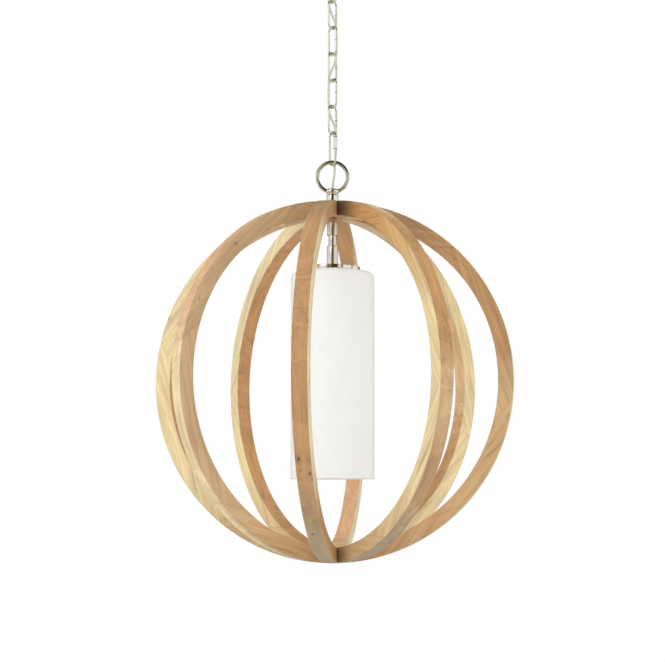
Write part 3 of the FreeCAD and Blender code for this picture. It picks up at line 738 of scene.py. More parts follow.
def direction(degrees):
    """Level unit vector at a turn about Z, where 0 points to the front."""
    turn = math.radians(degrees)
    return Vector((math.sin(turn), -math.cos(turn), 0))


def wire_object(name, points, diameter, sides, material, closed=False):
    """Round wire along points, made by the wire tree."""
    mesh = bpy.data.meshes.new(name)
    edges = [(n, n + 1) for n in range(len(points) - 1)]
    if closed:
        edges.append((len(points) - 1, 0))
    mesh.from_pydata(points, edges, [])
    return apply_tree(new_object(name, mesh), wire_tree, "Round wire on a path",
                      {"Diameter": diameter, "Sides": sides, "Material": material})


def oval_path(node, across, reach, wire, middle, gap):
    """Points round an oval of wire as high as a node, from one face of its gap to the other."""
    def at(side, height):
        return across * (reach * side) + UP * height

    low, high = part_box(node)
    steps = 20
    points = [at(1, middle + gap / 2)]
    for centre, sign in ((high.z - wire / 2 - reach, 1), (low.z + wire / 2 + reach, -1)):
        for k in range(steps + 1):
            turn = math.pi * k / steps
            points.append(at(sign * math.cos(turn), centre + sign * reach * math.sin(turn)))
    points.append(at(1, middle - gap / 2))
    return points


def circle_path(centre, radius, across):
    """Points round an upright circle."""
    steps = 96
    turns = [math.tau * k / steps for k in range(steps)]
    return [centre + across * (radius * math.cos(turn)) + UP * (radius * math.sin(turn))
            for turn in turns]


# Wooden hoops

HOOP_NAMES = "abcdefgh"

# Where each hoop's first glue joint lies, from its top
JOINT_PHASES_DEG = {"a": 7.0, "b": 32.0, "c": 40.0, "d": 44.0}

# How far from a pole a segment can end and still meet the laps there
LAP_MARGIN = math.radians(12)

# How much lighter the inner edges are than the tone they are given: painted light, lifting them against the
# shade that falls inside the hoops
INNER_PAINTED_LIGHT = 1.14

# How light the finished wood is as a whole
WOOD_GAIN = 0.945

# How squarely a face looks in or out to belong to the hoop's inner or outer edge
SQUARE_ON = 0.85

# Between which slants a face belongs to a sanded corner, and how dark those of each hoop are
CORNER_LEAN = (0.25, 0.97)
CORNER_GAINS = {"a": 1.04, "b": 0.8, "c": 0.92, "d": 0.88}

# How far and how strongly the tones of two segments run into each other
JOINT_BLEND = (0.2, 0.42)

# Tone of each segment from the top, turning to the hoop's own side: the two laminations of
# the outer edge, the inner edge, and the two flats
HOOP_TONES = {
    "a": "bbbpp bbbpp bbtpb bbkpp bbbpp tbbpp",
    "b": "bbbyp mmbyy mmbyt bbbyy bbbyy btbob",
    "c": "ppbbo ppbto ttbyt ppbyt pptyt ppbbb",
    "d": "bbtyp bbbyp tybtt yymmt kktmt ptbbt",
}
LETTERS = {"b": "brown", "t": "tan", "p": "pale", "y": "yellow", "g": "grey", "o": "orange",
           "k": "pink", "m": "muted", "s": "painted_pole_shade"}

# Soft changes of tone: hoop, face, angle from the top in the middle, half widths at full
# strength and where it ends, tone, strength. Those in the dark 's' tone are painted shade at and
# near the poles, where the hoops lap and cross
TONE_FADES = (
    ("a", "outer", 180, 22, 66, "g", 0.9), ("b", "outer", 180, 26, 58, "g", 0.85),
    ("b", "outer", 100, 10, 20, "t", 0.8), ("b", "outer", 121, 9, 17, "b", 0.55),
    ("c", "low", 180, 34, 50, "g", 0.35), ("c", "low", 180, 34, 50, "b", 0.45),
    ("c", "low", 94, 6, 14, "y", 0.3), ("c", "low", 125, 18, 26, "o", 0.3),
    ("d", "outer", 180, 10, 40, "g", 0.5), ("a", "high", 0, 24, 46, "b", 0.9),
    ("a", "outer", 0, 14, 36, "g", 0.7), ("b", "outer", 14, 10, 22, "p", 0.45),
    ("b", "outer", 60, 12, 36, "o", 0.35), ("b", "low", 16, 24, 60, "o", 0.75),
    ("b", "low", -28, 18, 27, "y", 1.0), ("b", "low", 180, 14, 62, "b", 0.75),
    ("d", "low", -176, 12, 44, "b", 0.75), ("c", "low", 168, 8, 14, "b", 0.8),
    ("b", "low", -52, 30, 50, "p", 0.35), ("d", "low", -60, 12, 34, "m", 0.45),
    ("b", "low", 180, 2, 14, "s", 0.35), ("d", "low", 180, 2, 16, "s", 0.25),
    ("c", "inner", 20, 26, 44, "p", 0.55), ("d", "inner", 20, 16, 34, "p", 0.5),
    ("c", "low", 14, 8, 34, "s", 0.32), ("c", "low", 180, 6, 26, "s", 0.15),
    ("d", "low", -4, 8, 34, "s", 0.22), ("b", "low", 4, 4, 17, "s", 0.92),
    ("b", "low", 177, 3, 13, "s", 0.6),
)

# Knots and streaks, listed one by one: hoop, angle from the top, place across the wood
# and depth from its outer edge in mm, radius of the dark core in mm, lean of its long axis and
# how much shorter it is across than along
KNOTS = (
    ("a", 116.7, -6.3, 0, 2.3, 0, 0.6), ("a", 121.5, 7.6, 0, 1.5, 0, 0.6),
    ("a", 146.2, -2.4, 0, 1.6, 0, 0.6),
    ("d", -43.0, -12.0, 9.2, 0.9, 0, 0.6), ("d", -66.0, -12.0, 9.2, 0.7, 0, 0.6),
    ("c", 114.6, -12.0, 11.0, 0.8, -25, 0.06), ("c", 111.6, -12.0, 16.0, 0.7, -27, 0.07),
    ("c", 117.0, -12.0, 15.0, 0.6, -24, 0.06), ("c", 139.5, -12.0, 14.0, 0.8, -18, 0.06),
    ("c", 32.0, -12.0, 7.0, 0.7, -4, 0.025), ("c", 44.0, -12.0, 13.0, 0.6, 5, 0.025),
    ("c", 66.0, -12.0, 9.0, 0.6, -6, 0.03), ("b", 20.0, -12.0, 12.0, 0.6, 8, 0.03),
)


def plane_turn(hoop, index):
    """Turn about Z that brings a hoop's own plane, which is XZ, to its place."""
    return hoop.turn + index * math.pi / hoop.hoops - math.pi / 2


def mean_radius(hoop):
    return (hoop.diameter - hoop.depth) / 2


def out_and_along(place):
    """Unit vectors out of a hoop and along it, at an angle from its top."""
    return Vector((math.sin(place), 0, math.cos(place))), Vector((math.cos(place), 0, -math.sin(place)))


def knot_places(hoop, centre):
    """Sockets of the listed knots: middle, long axis, core and shape of each."""
    places = []
    for letter, angle_deg, across, inset, core, lean_deg, squeeze in KNOTS:
        lean = math.radians(lean_deg)
        out, run = out_and_along(math.radians(angle_deg))
        radius = hoop.diameter / 2 - inset * MM
        spin = Matrix.Rotation(plane_turn(hoop, HOOP_NAMES.index(letter)), 3, "Z")
        middle = spin @ (out * radius + Vector((0, across * MM, 0))) + UP * centre
        along = spin @ (run * math.cos(lean) + out * math.sin(lean))
        places.append({"Middle": middle, "Along": along, "Core": core * MM, "Squeeze": squeeze})
    return places


def rib_section(hoop):
    """Closed outline of the wood, as (radius, across) points with eased edges."""
    outer = hoop.diameter / 2
    inner = outer - hoop.depth
    half = hoop.width / 2
    corners = [(inner, -half, hoop.edge), (outer, -half, hoop.edge), (outer, -hoop.lamination, 0),
               (outer, half, hoop.edge), (inner, half, hoop.edge)]
    return rounded(corners, steps=3)


def segment_angle(hoop, letter, n, radius, along):
    """Angle from the top of a point of a segment, whose two ends lean opposite ways."""
    arc = math.tau / hoop.segments
    mean = mean_radius(hoop)
    side = (-1) ** (n + ord(letter) - ord("a"))
    lean = side * (1 - 2 * along) * hoop.scarf / mean * (radius - mean) / hoop.depth
    return math.radians(JOINT_PHASES_DEG[letter]) + (n + along) * arc + lean


def segment_solid(hoop, letter, n):
    """One segment in the hoop's own plane, as a temporary object."""
    section = rib_section(hoop)
    size = len(section)
    shape = bmesh.new()
    made = []
    for step in range(hoop.steps + 1):
        for radius, across in section:
            place = segment_angle(hoop, letter, n, radius, step / hoop.steps)
            made.append(shape.verts.new((radius * math.sin(place), across, radius * math.cos(place))))
    rows = [range(step * size, (step + 1) * size) for step in range(hoop.steps + 1)]
    faces = [[face[0], *face[:0:-1]] for face in skin(rows)]
    for face in (*faces, rows[0], reversed(rows[-1])):
        shape.faces.new([made[k] for k in face])
    bmesh.ops.triangulate(shape, faces=[f for f in shape.faces if len(f.verts) > 4])
    bmesh.ops.recalc_face_normals(shape, faces=shape.faces)
    return shape_object("segment", shape)


def block(low, high, turn):
    """Box between two corners, turned about Z, as a temporary cutter."""
    shape = bmesh.new()
    bmesh.ops.create_cube(shape, size=1)
    for vertex in shape.verts:
        share_of = vertex.co + Vector((0.5, 0.5, 0.5))
        vertex.co = [low[k] + (high[k] - low[k]) * share_of[k] for k in range(3)]
    bmesh.ops.rotate(shape, verts=shape.verts, matrix=Matrix.Rotation(turn, 3, "Z"))
    return shape_object("cutter", shape)


def lap_cutters(hoop, index):
    """Cutters that lap this hoop with the others at both poles, and its hole for the pipe."""
    outer = hoop.diameter / 2
    inner = outer - hoop.depth
    step = hoop.depth / hoop.hoops
    reach = 2 * hoop.width
    cutters = []
    for other in range(hoop.hoops):
        if other == index:
            continue
        if other > index:
            low, high = inner + (index + 1) * step, outer + OVER
        else:
            low, high = inner - hoop.depth, inner + (other + 1) * step
        turn = (other - index) * math.pi / hoop.hoops
        for bottom, top in ((low, high), (-high, -low)):
            cutters.append(block((-reach, -hoop.width / 2, bottom), (reach, hoop.width / 2, top), turn))
    return [*cutters, bar(hoop.pole_hole / 2, outer + OVER, -outer - OVER, around=32)]


def near_pole(hoop, letter, n):
    """Whether a segment reaches the laps at the top or bottom."""
    first, last = (segment_angle(hoop, letter, n, mean_radius(hoop), end) for end in (0, 1))
    return any(first - LAP_MARGIN <= pole <= last + LAP_MARGIN for pole in (0, math.pi, math.tau))


class HoopMesh:
    """Gathers a hoop's segments, with their grain, tones and marks."""

    def __init__(self, hoop, index):
        self.hoop = hoop
        self.letter = HOOP_NAMES[index]
        self.turn = plane_turn(hoop, index)
        self.vertices, self.faces = [], []
        self.grain, self.marks, self.tones = [], [], []

    def side_of(self, point, normal):
        """Which side of the wood a face is on."""
        facing = normal.dot(Vector((point.x, 0, point.z)).normalized())
        if abs(normal.y) < SQUARE_ON and abs(facing) > SQUARE_ON:
            return "outer" if facing > 0 else "inner"
        return "low" if normal.y < 0 else "high"

    def base_tone(self, n, side, low_half):
        """Tone that a segment is given on one of its sides."""
        letters = HOOP_TONES[self.letter].split()[n % self.hoop.segments]
        outer = letters[0] if low_half else letters[1]
        letter = {"outer": outer, "inner": letters[2], "low": letters[3], "high": letters[4]}[side]
        gain = INNER_PAINTED_LIGHT if side == "inner" else 1.0
        return Vector(getattr(self.hoop, LETTERS[letter])) * gain

    def tones_of(self, n, point, normal, corners):
        """Colours at a face's corners, by its side and how near a joint or a fade they are."""
        hoop = self.hoop
        side = self.side_of(point, normal)
        low_half = point.y < -hoop.lamination
        own, before, after = (self.base_tone(k, side, low_half) for k in (n, n - 1, n + 1))
        least, most = CORNER_LEAN
        gain = CORNER_GAINS[self.letter] if least < abs(normal.y) < most else 1.0
        fades = [fade[2:] for fade in TONE_FADES if fade[:2] == (self.letter, side)]
        first = math.degrees(segment_angle(hoop, self.letter, n, mean_radius(hoop), 0.5))
        reach, strongest = JOINT_BLEND
        colours = []
        for corner in corners:
            place = math.degrees(math.atan2(corner.x, corner.z))
            off = ((place - first + 180) % 360 - 180) * hoop.segments / 360
            closeness = max(0, 1 - (0.5 - abs(off)) / reach) * strongest
            value = own.lerp(before if off < 0 else after, min(closeness, strongest))
            for middle, full, end, tone, strength in fades:
                away = abs((place - middle + 180) % 360 - 180)
                share_of = min(1, max(0, (end - away) / (end - full)))
                share_of = share_of * share_of * (3 - 2 * share_of) * strength
                value = value.lerp(Vector(getattr(hoop, LETTERS[tone])), share_of)
            colours.append(value * gain * WOOD_GAIN)
        return colours

    def add_segment(self, n, mesh):
        """Adds a segment, with a grain that is tilted and cut from a place of its own."""
        hoop = self.hoop
        rng = random.Random(f"{self.letter}{n}")
        mean = mean_radius(hoop)
        out, along = out_and_along(segment_angle(hoop, self.letter, n, mean, 0.5))
        tilt = math.radians(rng.uniform(-3, 3))
        slip = Vector((rng.uniform(0, 9), rng.uniform(0, 2), rng.uniform(0, 2)))
        first = len(self.vertices)
        tones = HOOP_TONES[self.letter].split()[n]
        line = 1.0 if tones[0] != tones[1] else 0.0
        for vertex in mesh.vertices:
            p = vertex.co
            radius = math.hypot(p.x, p.z)
            place = math.atan2(p.x, p.z)
            ends = [segment_angle(hoop, self.letter, n, radius, side) - place for side in (0, 1)]
            near = min(abs((gap + math.pi) % math.tau - math.pi) for gap in ends) * radius
            flat = Vector((p.dot(along), p.dot(out) - mean, p.y))
            flat.rotate(Quaternion((0, 0, 1), tilt))
            self.grain.append(flat + slip)
            self.marks.append((near, p.y, line if radius > mean else 0.0))
            self.vertices.append(p.copy())
        for polygon in mesh.polygons:
            self.faces.append([first + k for k in polygon.vertices])
            corners = [mesh.vertices[k].co for k in polygon.vertices]
            self.tones.extend(self.tones_of(n, polygon.center, polygon.normal, corners))

    def object(self, name, centre, material):
        """The whole hoop in its place, with its attributes."""
        place = Matrix.Translation((0, 0, centre)) @ Matrix.Rotation(self.turn, 4, "Z")
        obj = mesh_object(name, [place @ v for v in self.vertices], self.faces, material, smooth_deg=40)
        mesh = obj.data
        for label, rows in (("grain", self.grain), ("marks", self.marks)):
            attribute = mesh.attributes.new(label, "FLOAT_VECTOR", "POINT")
            attribute.data.foreach_set("vector", [x for row in rows for x in row])
        tone = mesh.color_attributes.new("tone", "FLOAT_COLOR", "CORNER")
        tone.data.foreach_set("color", [x for value in self.tones for x in (*value, 1)])
        return obj


class PENDANT_OT_hoops(bpy.types.Operator):
    """Builds the four wooden hoops from glued segments, lapped at both poles"""
    bl_idname = "pendant.hoops"
    bl_label = "Wooden hoops"

    def execute(self, context):
        hoop = context.scene.pendant_hoops
        _, top, _ = level("wood_ring_d")
        centre = top - hoop.diameter / 2
        material = wood_material(hoop, centre)
        for index in range(hoop.hoops):
            gathered = HoopMesh(hoop, index)
            cutters = lap_cutters(hoop, index)
            for n in range(hoop.segments):
                piece = segment_solid(hoop, gathered.letter, n)
                if near_pole(hoop, gathered.letter, n):
                    carve(piece, cutters)
                gathered.add_segment(n, piece.data)
                remove([piece])
            remove(cutters)
            obj = gathered.object("hoop_" + gathered.letter, centre, material)
            finished(obj, "cage", "wood_ring_" + gathered.letter)
        return {"FINISHED"}


# Chain and hanging ring

# Turns of the eye, the odd links and the connector link from the front
EYE_TURN_DEG = -45
LINK_TURN_DEG = 45
CONNECTOR_TURN_DEG = 35


class PENDANT_OT_chain(bpy.types.Operator):
    """Bends the chain links, the connector link with its sleeve, and the hanging ring"""
    bl_idname = "pendant.chain"
    bl_label = "Chain and ring"

    def execute(self, context):
        wires = context.scene.pendant_wires
        metal = context.scene.pendant_metal
        n = 1
        while f"chain_link_{n}" in frame["nodes"]:
            self.link(n, wires, chain_finish(metal))
            n += 1
        self.connector(wires, metal)
        self.ring(wires, metal)
        return {"FINISHED"}

    def link(self, n, wires, material):
        """One link of the chain, square to the next, with a small swelling over its butt seam."""
        node = f"chain_link_{n}"
        low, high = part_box(node)
        seam = (low.z + high.z) / 2
        sign = 1 if n % 2 else -1
        across, reach = direction(LINK_TURN_DEG * sign) * sign, (wires.link_width - wires.wire) / 2
        path = oval_path(node, across, reach, wires.wire, seam, wires.seam)
        wire = wire_object("bent_wire", path, wires.wire, wires.sides, material)
        inside, crest = wires.wire / 2 - 0.1 * MM, wires.wire / 2 + wires.swelling
        half = 2 * wires.swelling
        bead = turned("seam_bead", [(inside, -half), (crest, 0), (inside, half)], material, wires.sides)
        bead.data.transform(Matrix.Translation(across * reach + UP * seam))
        finished(joined(f"link_{n}", [wire, bead]), body_of(node), node)

    def connector(self, wires, metal):
        """The longer link, open behind its threaded sleeve."""
        low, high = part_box("quick_link_sleeve")
        across, reach = direction(CONNECTOR_TURN_DEG), (wires.quick_width - wires.quick_wire) / 2
        path = oval_path("quick_link", across, reach, wires.quick_wire, (low.z + high.z) / 2,
                         wires.quick_mouth)
        link = wire_object("connector_link", path, wires.quick_wire, wires.sides, chain_finish(metal))
        finished(link, "quick_link", "quick_link")
        corner = (high.x - low.x) / 2
        bore = wires.quick_wire / 2 + 0.2 * MM
        slope, shoulder = 1.5 * MM, corner - 0.9 * MM
        points = [(bore, low.z), (shoulder, low.z), (corner, low.z + slope),
                  (corner, high.z - slope), (shoulder, high.z), (bore, high.z)]
        sleeve = turned("connector_sleeve", points, nickel(metal), around=6, smooth_deg=20)
        sleeve.data.transform(Matrix.Translation(across * reach) @ Matrix.Rotation(math.pi / 6, 4, "Z"))
        finished(sleeve, "quick_link_sleeve", "quick_link_sleeve")

    def ring(self, wires, metal):
        _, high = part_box("hanging_ring")
        path = circle_path(UP * (high.z - wires.ring / 2), (wires.ring - wires.ring_wire) / 2, ACROSS)
        finish = polished("ring_nickel", metal.ring_nickel, metal)
        ring = wire_object("suspension_ring", path, wires.ring_wire, wires.sides + 8, finish, closed=True)
        finished(ring, "hanging_ring", "hanging_ring")


# Flex

# Control points of the flex from the outlet box to the lampholder, in millimetres
FLEX_POINTS = (
    (0, 0, 10), (0, 0, -26.1), (-7.2, 0, -35), (-6.3, 0.6, -64.99), (-6.3, -0.6, -85.76),
    (-5.4, 0, -106.68), (5.4, 0, -127.72), (6.3, 0.6, -148.78), (6.3, -0.6, -169.82),
    (5.4, 0, -190.88), (-5.4, 0, -211.92), (-6.3, 0.6, -232.97), (-6.3, -0.6, -254.02),
    (-5.4, 0, -275.07), (5.4, 0, -296.12), (6.3, 0.6, -318.89), (4.6, 2.6, -343.36),
    (3.4, 5.4, -351.94), (3.2, 4.2, -368.44), (0.4, 4.6, -383.84), (0, 5.4, -399.53),
    (0, 0, -409.44), (0, 0, -526.54),
)

# Each span of the flex ends half way along the run after this point
FLEX_CUTS = (2, 3, 5, 7, 9, 11, 13, 15, 18)

# The points of the flex that lie in the holder
HOLDER_POINTS = slice(18, 22)


def smooth_line(points):
    """Points along the smooth line that a clamped quadratic spline draws through a route."""
    curve = bpy.data.curves.new("route", "CURVE")
    curve.dimensions = "3D"
    curve.resolution_u = 14
    spline = curve.splines.new("NURBS")
    spline.points.add(len(points) - 1)
    for place, point in zip(spline.points, points):
        place.co = (*point, 1)
    spline.order_u = 3
    spline.use_endpoint_u = True
    obj = new_object("route", curve)
    line = [v.co.copy() for v in evaluated_mesh(obj).vertices]
    remove([obj])
    return line


def carried_frames(line):
    """Two axes across the line at each point, carried along it without twist."""
    tangents = []
    for n in range(len(line)):
        before, after = line[max(0, n - 1)], line[min(len(line) - 1, n + 1)]
        tangents.append((after - before).normalized())
    side = tangents[0].orthogonal().normalized()
    frames = []
    for n, tangent in enumerate(tangents):
        if n:
            side.rotate(tangents[n - 1].rotation_difference(tangent))
            side = (side - tangent * side.dot(tangent)).normalized()
        frames.append((side.copy(), tangent.cross(side)))
    return frames


def tube_mesh(name, line, frames, diameter, sides, material=None):
    """Round tube along part of a line, with closed ends."""
    vertices = []
    for point, (one, other) in zip(line, frames):
        for k in range(sides):
            turn = math.tau * k / sides
            vertices.append(point + (one * math.cos(turn) + other * math.sin(turn)) * (diameter / 2))
    rows = [range(n * sides, (n + 1) * sides) for n in range(len(line))]
    faces = [*skin(rows), list(reversed(rows[0])), list(rows[-1])]
    return mesh_object(name, vertices, faces, material, smooth_deg=50)


class PENDANT_OT_flex(bpy.types.Operator):
    """Runs the flex down through the chain in spans, of which only the first is put on a body"""
    bl_idname = "pendant.flex"
    bl_label = "Flex"

    def execute(self, context):
        wires = context.scene.pendant_wires
        material = marked_material("clear_flex", wires.flex_clear, 0.24, 0.5, bump=0.05,
                                   Transmission_Weight=0.25, IOR=1.45)
        route = [Vector(point) * MM for point in FLEX_POINTS]
        line = smooth_line(route)
        frames = carried_frames(line)
        cuts = [0]
        for n in FLEX_CUTS:
            middle = (route[n] + route[n + 1]) / 2
            cuts.append(min(range(len(line)), key=lambda k: (line[k] - middle).length))
        cuts.append(len(line) - 1)
        for n in range(len(cuts) - 1):
            first, last = cuts[n], cuts[n + 1] + 1
            node = f"flex_span_{n}" if n else "flex_upper"
            span = tube_mesh(f"cord_span_{n}", line[first:last], frames[first:last],
                             wires.flex, wires.sides, material)
            if not n:
                finished(span, body_of(node), node)
                continue
            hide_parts(node)
            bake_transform(span)
        return {"FINISHED"}


# Turned pieces


def knurled(ring, ridges, radius, height, depth, middle):
    """Sets ridges round a turned ring, in its own material."""
    apply_tree(ring, knurl_tree, "Knurl ridges",
               {"Ridges": ridges, "Radius": radius, "Height": height, "Depth": depth,
                "Level": middle, "Material": ring.data.materials[0]})


class PENDANT_OT_ceiling(bpy.types.Operator):
    """Turns the canopy, the threaded collar with its eye and the knurled ring, and finishes the rest"""
    bl_idname = "pendant.ceiling"
    bl_label = "Ceiling fitting"

    def execute(self, context):
        metal = context.scene.pendant_metal
        wires = context.scene.pendant_wires
        self.canopy(metal)
        self.collar(metal, wires)
        self.knurled_ring(metal)
        for node in ("ceiling_strap", "threaded_nipple", "nipple_locknuts"):
            paint(node, zinc(metal))
        paint("ground_screw", marked_material("ground_green", metal.ground, 0.3, 0.8, metallic=1.0))
        paint("supply_wires", insulation(wires))
        paint("wire_nuts", marked_material("connector_plastic", wires.connector, 0.42, 0.8))
        return {"FINISHED"}

    def canopy(self, metal):
        """Dish with a bead near its rim."""
        radius, top, bottom = level("canopy")
        wall = 1.2 * MM
        corner = 14 * MM
        bead, groove = 2.4 * MM, 0.5 * MM
        hole, lip = level("collar_loop")[0] + 0.3 * MM, 0.5 * MM
        points = rounded([
            (hole, bottom, lip), (radius, bottom, corner), (radius, top - bead, 0.8 * MM),
            (radius - groove, top - bead * 0.8, 0.3 * MM), (radius, top - bead * 0.6, 0.5 * MM),
            (radius, top, 0), (radius - wall, top, 0), (radius - wall, bottom + wall, corner - wall),
            (hole, bottom + wall, lip)])
        dish = turned("dish_canopy", points, nickel(metal), around=160)
        finished(dish, "canopy", "canopy")

    def collar(self, metal, wires):
        """Hollow collar with a thread outside and an eye below."""
        radius, top, _ = level("collar_loop")
        bottom = top - 19 * MM
        edge, inner = 0.6 * MM, 4.9 * MM
        foot_hole, foot = 2.2 * MM, bottom + 4 * MM
        room, ceiling = 9.5 * MM, bottom + 10 * MM
        pitch, depth, step = 1.5 * MM, 0.7 * MM, 0.18 * MM
        wall, thread = threaded_wall(radius, top - edge, bottom + edge, pitch, depth, step)
        points = [(inner, top), (radius - edge, top), *wall, (radius - edge, bottom), (foot_hole, bottom),
                  (foot_hole, foot), (room, foot), (room, ceiling), (inner, ceiling)]
        body = turned("collar", points, nickel(metal), around=72, thread=thread, smooth_deg=40)
        sunk = 1.4 * MM
        path = circle_path(UP * (bottom - wires.eye + sunk), wires.eye, direction(EYE_TURN_DEG))
        eye = wire_object("eye", path, wires.eye_wire, wires.sides + 4, nickel(metal), closed=True)
        finished(joined("collar_with_eye", [body, eye]), body_of("collar_loop"),
                 "collar_loop")

    def knurled_ring(self, metal):
        radius, top, bottom = level("collar_ring")
        inner, inner_edge = level("collar_loop")[0] + 0.2 * MM, 0.4 * MM
        edge = 1.2 * MM
        depth = 0.7 * MM
        points = rounded([(inner, bottom, inner_edge), (radius - depth / 2, bottom, edge),
                          (radius - depth / 2, top, edge), (inner, top, inner_edge)])
        ring = turned("knurled_ring", points, nickel(metal))
        ridges = 84
        knurled(ring, ridges, radius - depth, top - bottom - 2 * edge, depth, (top + bottom) / 2)
        finished(ring, "collar_ring", "collar_ring")


class PENDANT_OT_holder(bpy.types.Operator):
    """Turns the holder on top of the wood, with the channel that the ring passes through"""
    bl_idname = "pendant.holder"
    bl_label = "Loop holder"

    def execute(self, context):
        wires = context.scene.pendant_wires
        cup, top, bottom = level("loop_holder")
        barrel, neck = 9.1 * MM, 7.5 * MM
        waist = top - 8.8 * MM
        slope = 4.2 * MM
        foot_edge, edge, top_edge = 0.5 * MM, 1.3 * MM, 2.4 * MM
        points = rounded([
            (0, bottom, 0), (barrel, bottom, foot_edge), (barrel, waist - edge, edge),
            (neck, waist, edge), (cup, waist + slope, edge), (cup, top, top_edge), (0, top, 0)], steps=8)
        body = turned("loop_cup", points, nickel(context.scene.pendant_metal), around=112)
        low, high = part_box("hanging_ring")
        path = circle_path(UP * ((low.z + high.z) / 2), (wires.ring - wires.ring_wire) / 2, ACROSS)
        route = [*(Vector(p) * MM for p in FLEX_POINTS[HOLDER_POINTS]), UP * (bottom - 5 * MM)]
        line = smooth_line(route)
        channel, flex_hole = wires.ring_wire + 1.3 * MM, wires.flex + 0.7 * MM
        drill, drill_top = 4.85 * MM, bottom + 13.6 * MM
        cutters = [wire_object("channel", path, channel, sides=40, material=None, closed=True),
                   tube_mesh("flex_hole", line, carried_frames(line), flex_hole, sides=32),
                   bar(drill, drill_top, bottom - OVER, around=48)]
        carve(body, cutters)
        remove(cutters)
        body.data.set_sharp_from_angle(angle=math.radians(SMOOTH_DEG))
        finished(body, "cage", "loop_holder")
        return {"FINISHED"}


class PENDANT_OT_stem(bpy.types.Operator):
    """Turns the sleeves, the stem tube, the seat washer and the shade cap"""
    bl_idname = "pendant.stem"
    bl_label = "Stem and cap"

    def execute(self, context):
        metal = context.scene.pendant_metal
        bore = 5 * MM
        # Painted shade: the upper sleeve gets a darker copy of the nickel for the shade under the wood
        shadowed = polished("shaded_sleeve_nickel", metal.shaded_sleeve_nickel, metal)
        edges_mm = {"upper_sleeve": (2, 0.5), "stem_tube": (0.6, 0.4), "lower_sleeve": (1, 0.5),
                    "seat_washer": (0.8, 0.5)}
        for node, (top_edge, foot_edge) in edges_mm.items():
            radius, top, bottom = level(node)
            points = rounded([(bore, bottom, 0), (radius, bottom, foot_edge * MM),
                              (radius, top, top_edge * MM), (bore, top, 0)])
            piece = turned("turned_" + node, points, shadowed if node == "upper_sleeve" else nickel(metal))
            finished(piece, "cage", node)
        radius, top, bottom = level("shade_cap")
        plate, rim = 1.5 * MM, 1.6 * MM
        inside, lip, foot, edge = 0.4 * MM, 0.3 * MM, 0.8 * MM, 0.9 * MM
        points = rounded([
            (bore, top - plate, 0), (radius - rim, top - plate, inside), (radius - rim, bottom, lip),
            (radius, bottom, foot), (radius, top, edge), (bore, top, 0)])
        cap = turned("cover_cap", points, nickel(metal), around=160)
        finished(cap, "cage", "shade_cap")
        paint("lamp_pipe", zinc(metal))
        return {"FINISHED"}


class PENDANT_OT_glass(bpy.types.Operator):
    """Blows the opal glass cylinder, open below, with its sloping shoulder"""
    bl_idname = "pendant.glass"
    bl_label = "Glass shade"

    def execute(self, context):
        shade = context.scene.pendant_shade
        outer, top, bottom = level("glass_shade")
        flat = level("shade_cap")[0]
        hole, hole_edge = level("lampholder_shell")[0] + 1 * MM, 0.5 * MM
        wall, corner, drop = shade.wall, shade.corner, shade.shoulder_drop
        shoulder = outer - corner
        inside = top - shade.plate
        rim = wall / 2 - 0.05 * MM
        points = rounded([
            (hole, top, hole_edge), (flat, top, 0), (shoulder, top - drop, corner),
            (outer, top - drop - corner, corner), (outer, bottom, rim), (outer - wall, bottom, rim),
            (outer - wall, inside - drop - corner, corner - wall), (shoulder - wall, inside - drop, corner),
            (flat, inside, 0), (hole, inside, hole_edge)], steps=8)
        glass = turned("glass_cylinder", points, opal(shade), around=192)
        finished(glass, "cage", "glass_shade")
        paint("shade_gasket", marked_material("gasket_fibre", shade.fibre, 0.8, 1.0, bump=0.5))
        return {"FINISHED"}


class PENDANT_OT_lampholder(bpy.types.Operator):
    """Turns the threaded lampholder shell and the ring that holds the glass, and finishes the rest"""
    bl_idname = "pendant.lampholder"
    bl_label = "Lampholder"

    def execute(self, context):
        shade = context.scene.pendant_shade
        self.shell(shade)
        self.ring(shade)
        for node in ("terminal_screws", "screw_shell", "centre_contact"):
            paint(node, brass(context.scene.pendant_metal))
        paint("lampholder_insulator", marked_material("insulator_ceramic", shade.ceramic, 0.5, 0.8))
        paint("lampholder_leads", insulation(context.scene.pendant_wires))
        return {"FINISHED"}

    def shell(self, shade):
        """Threaded cup with a boss for the lamp pipe."""
        radius, top, bottom = level("lampholder_shell")
        inner = radius - 2 * MM
        bore, boss = 4.85 * MM, 8 * MM
        plate = top - 3 * MM
        boss_foot = plate - 5 * MM
        edge, depth, step = 1.2 * MM, 0.9 * MM, 0.35 * MM
        wall, thread = threaded_wall(radius, top - edge, bottom + edge, shade.thread_pitch, depth, step)
        points = [(bore, top), (radius - edge, top), *wall, (radius - edge, bottom), (inner, bottom),
                  (inner, plate), (boss, plate), (boss, boss_foot), (bore, boss_foot)]
        shell = turned("holder_shell", points, plastic(shade), thread=thread, smooth_deg=40)
        finished(shell, "cage", "lampholder_shell")

    def ring(self, shade):
        """Ring with a ridged skirt and a flange, which is kept just clear of the gasket."""
        outer, top, bottom = level("shade_ring")
        top -= 0.05 * MM
        inner = level("lampholder_shell")[0] + 0.2 * MM
        skirt, flange = inner + 2.8 * MM, 2 * MM
        edge = 0.6 * MM
        points = rounded([
            (inner, bottom, edge), (skirt, bottom, edge), (skirt, top - flange, edge),
            (outer, top - flange, edge), (outer, top, edge), (inner, top, 0)])
        ring = turned("retaining_ring", points, plastic(shade))
        ridges, sunk, shorter, depth = 36, 0.2 * MM, 1.6 * MM, 0.8 * MM
        knurled(ring, ridges, skirt - sunk, top - bottom - flange - shorter, depth,
                (top + bottom - flange) / 2)
        finished(ring, "shade_ring", "shade_ring")


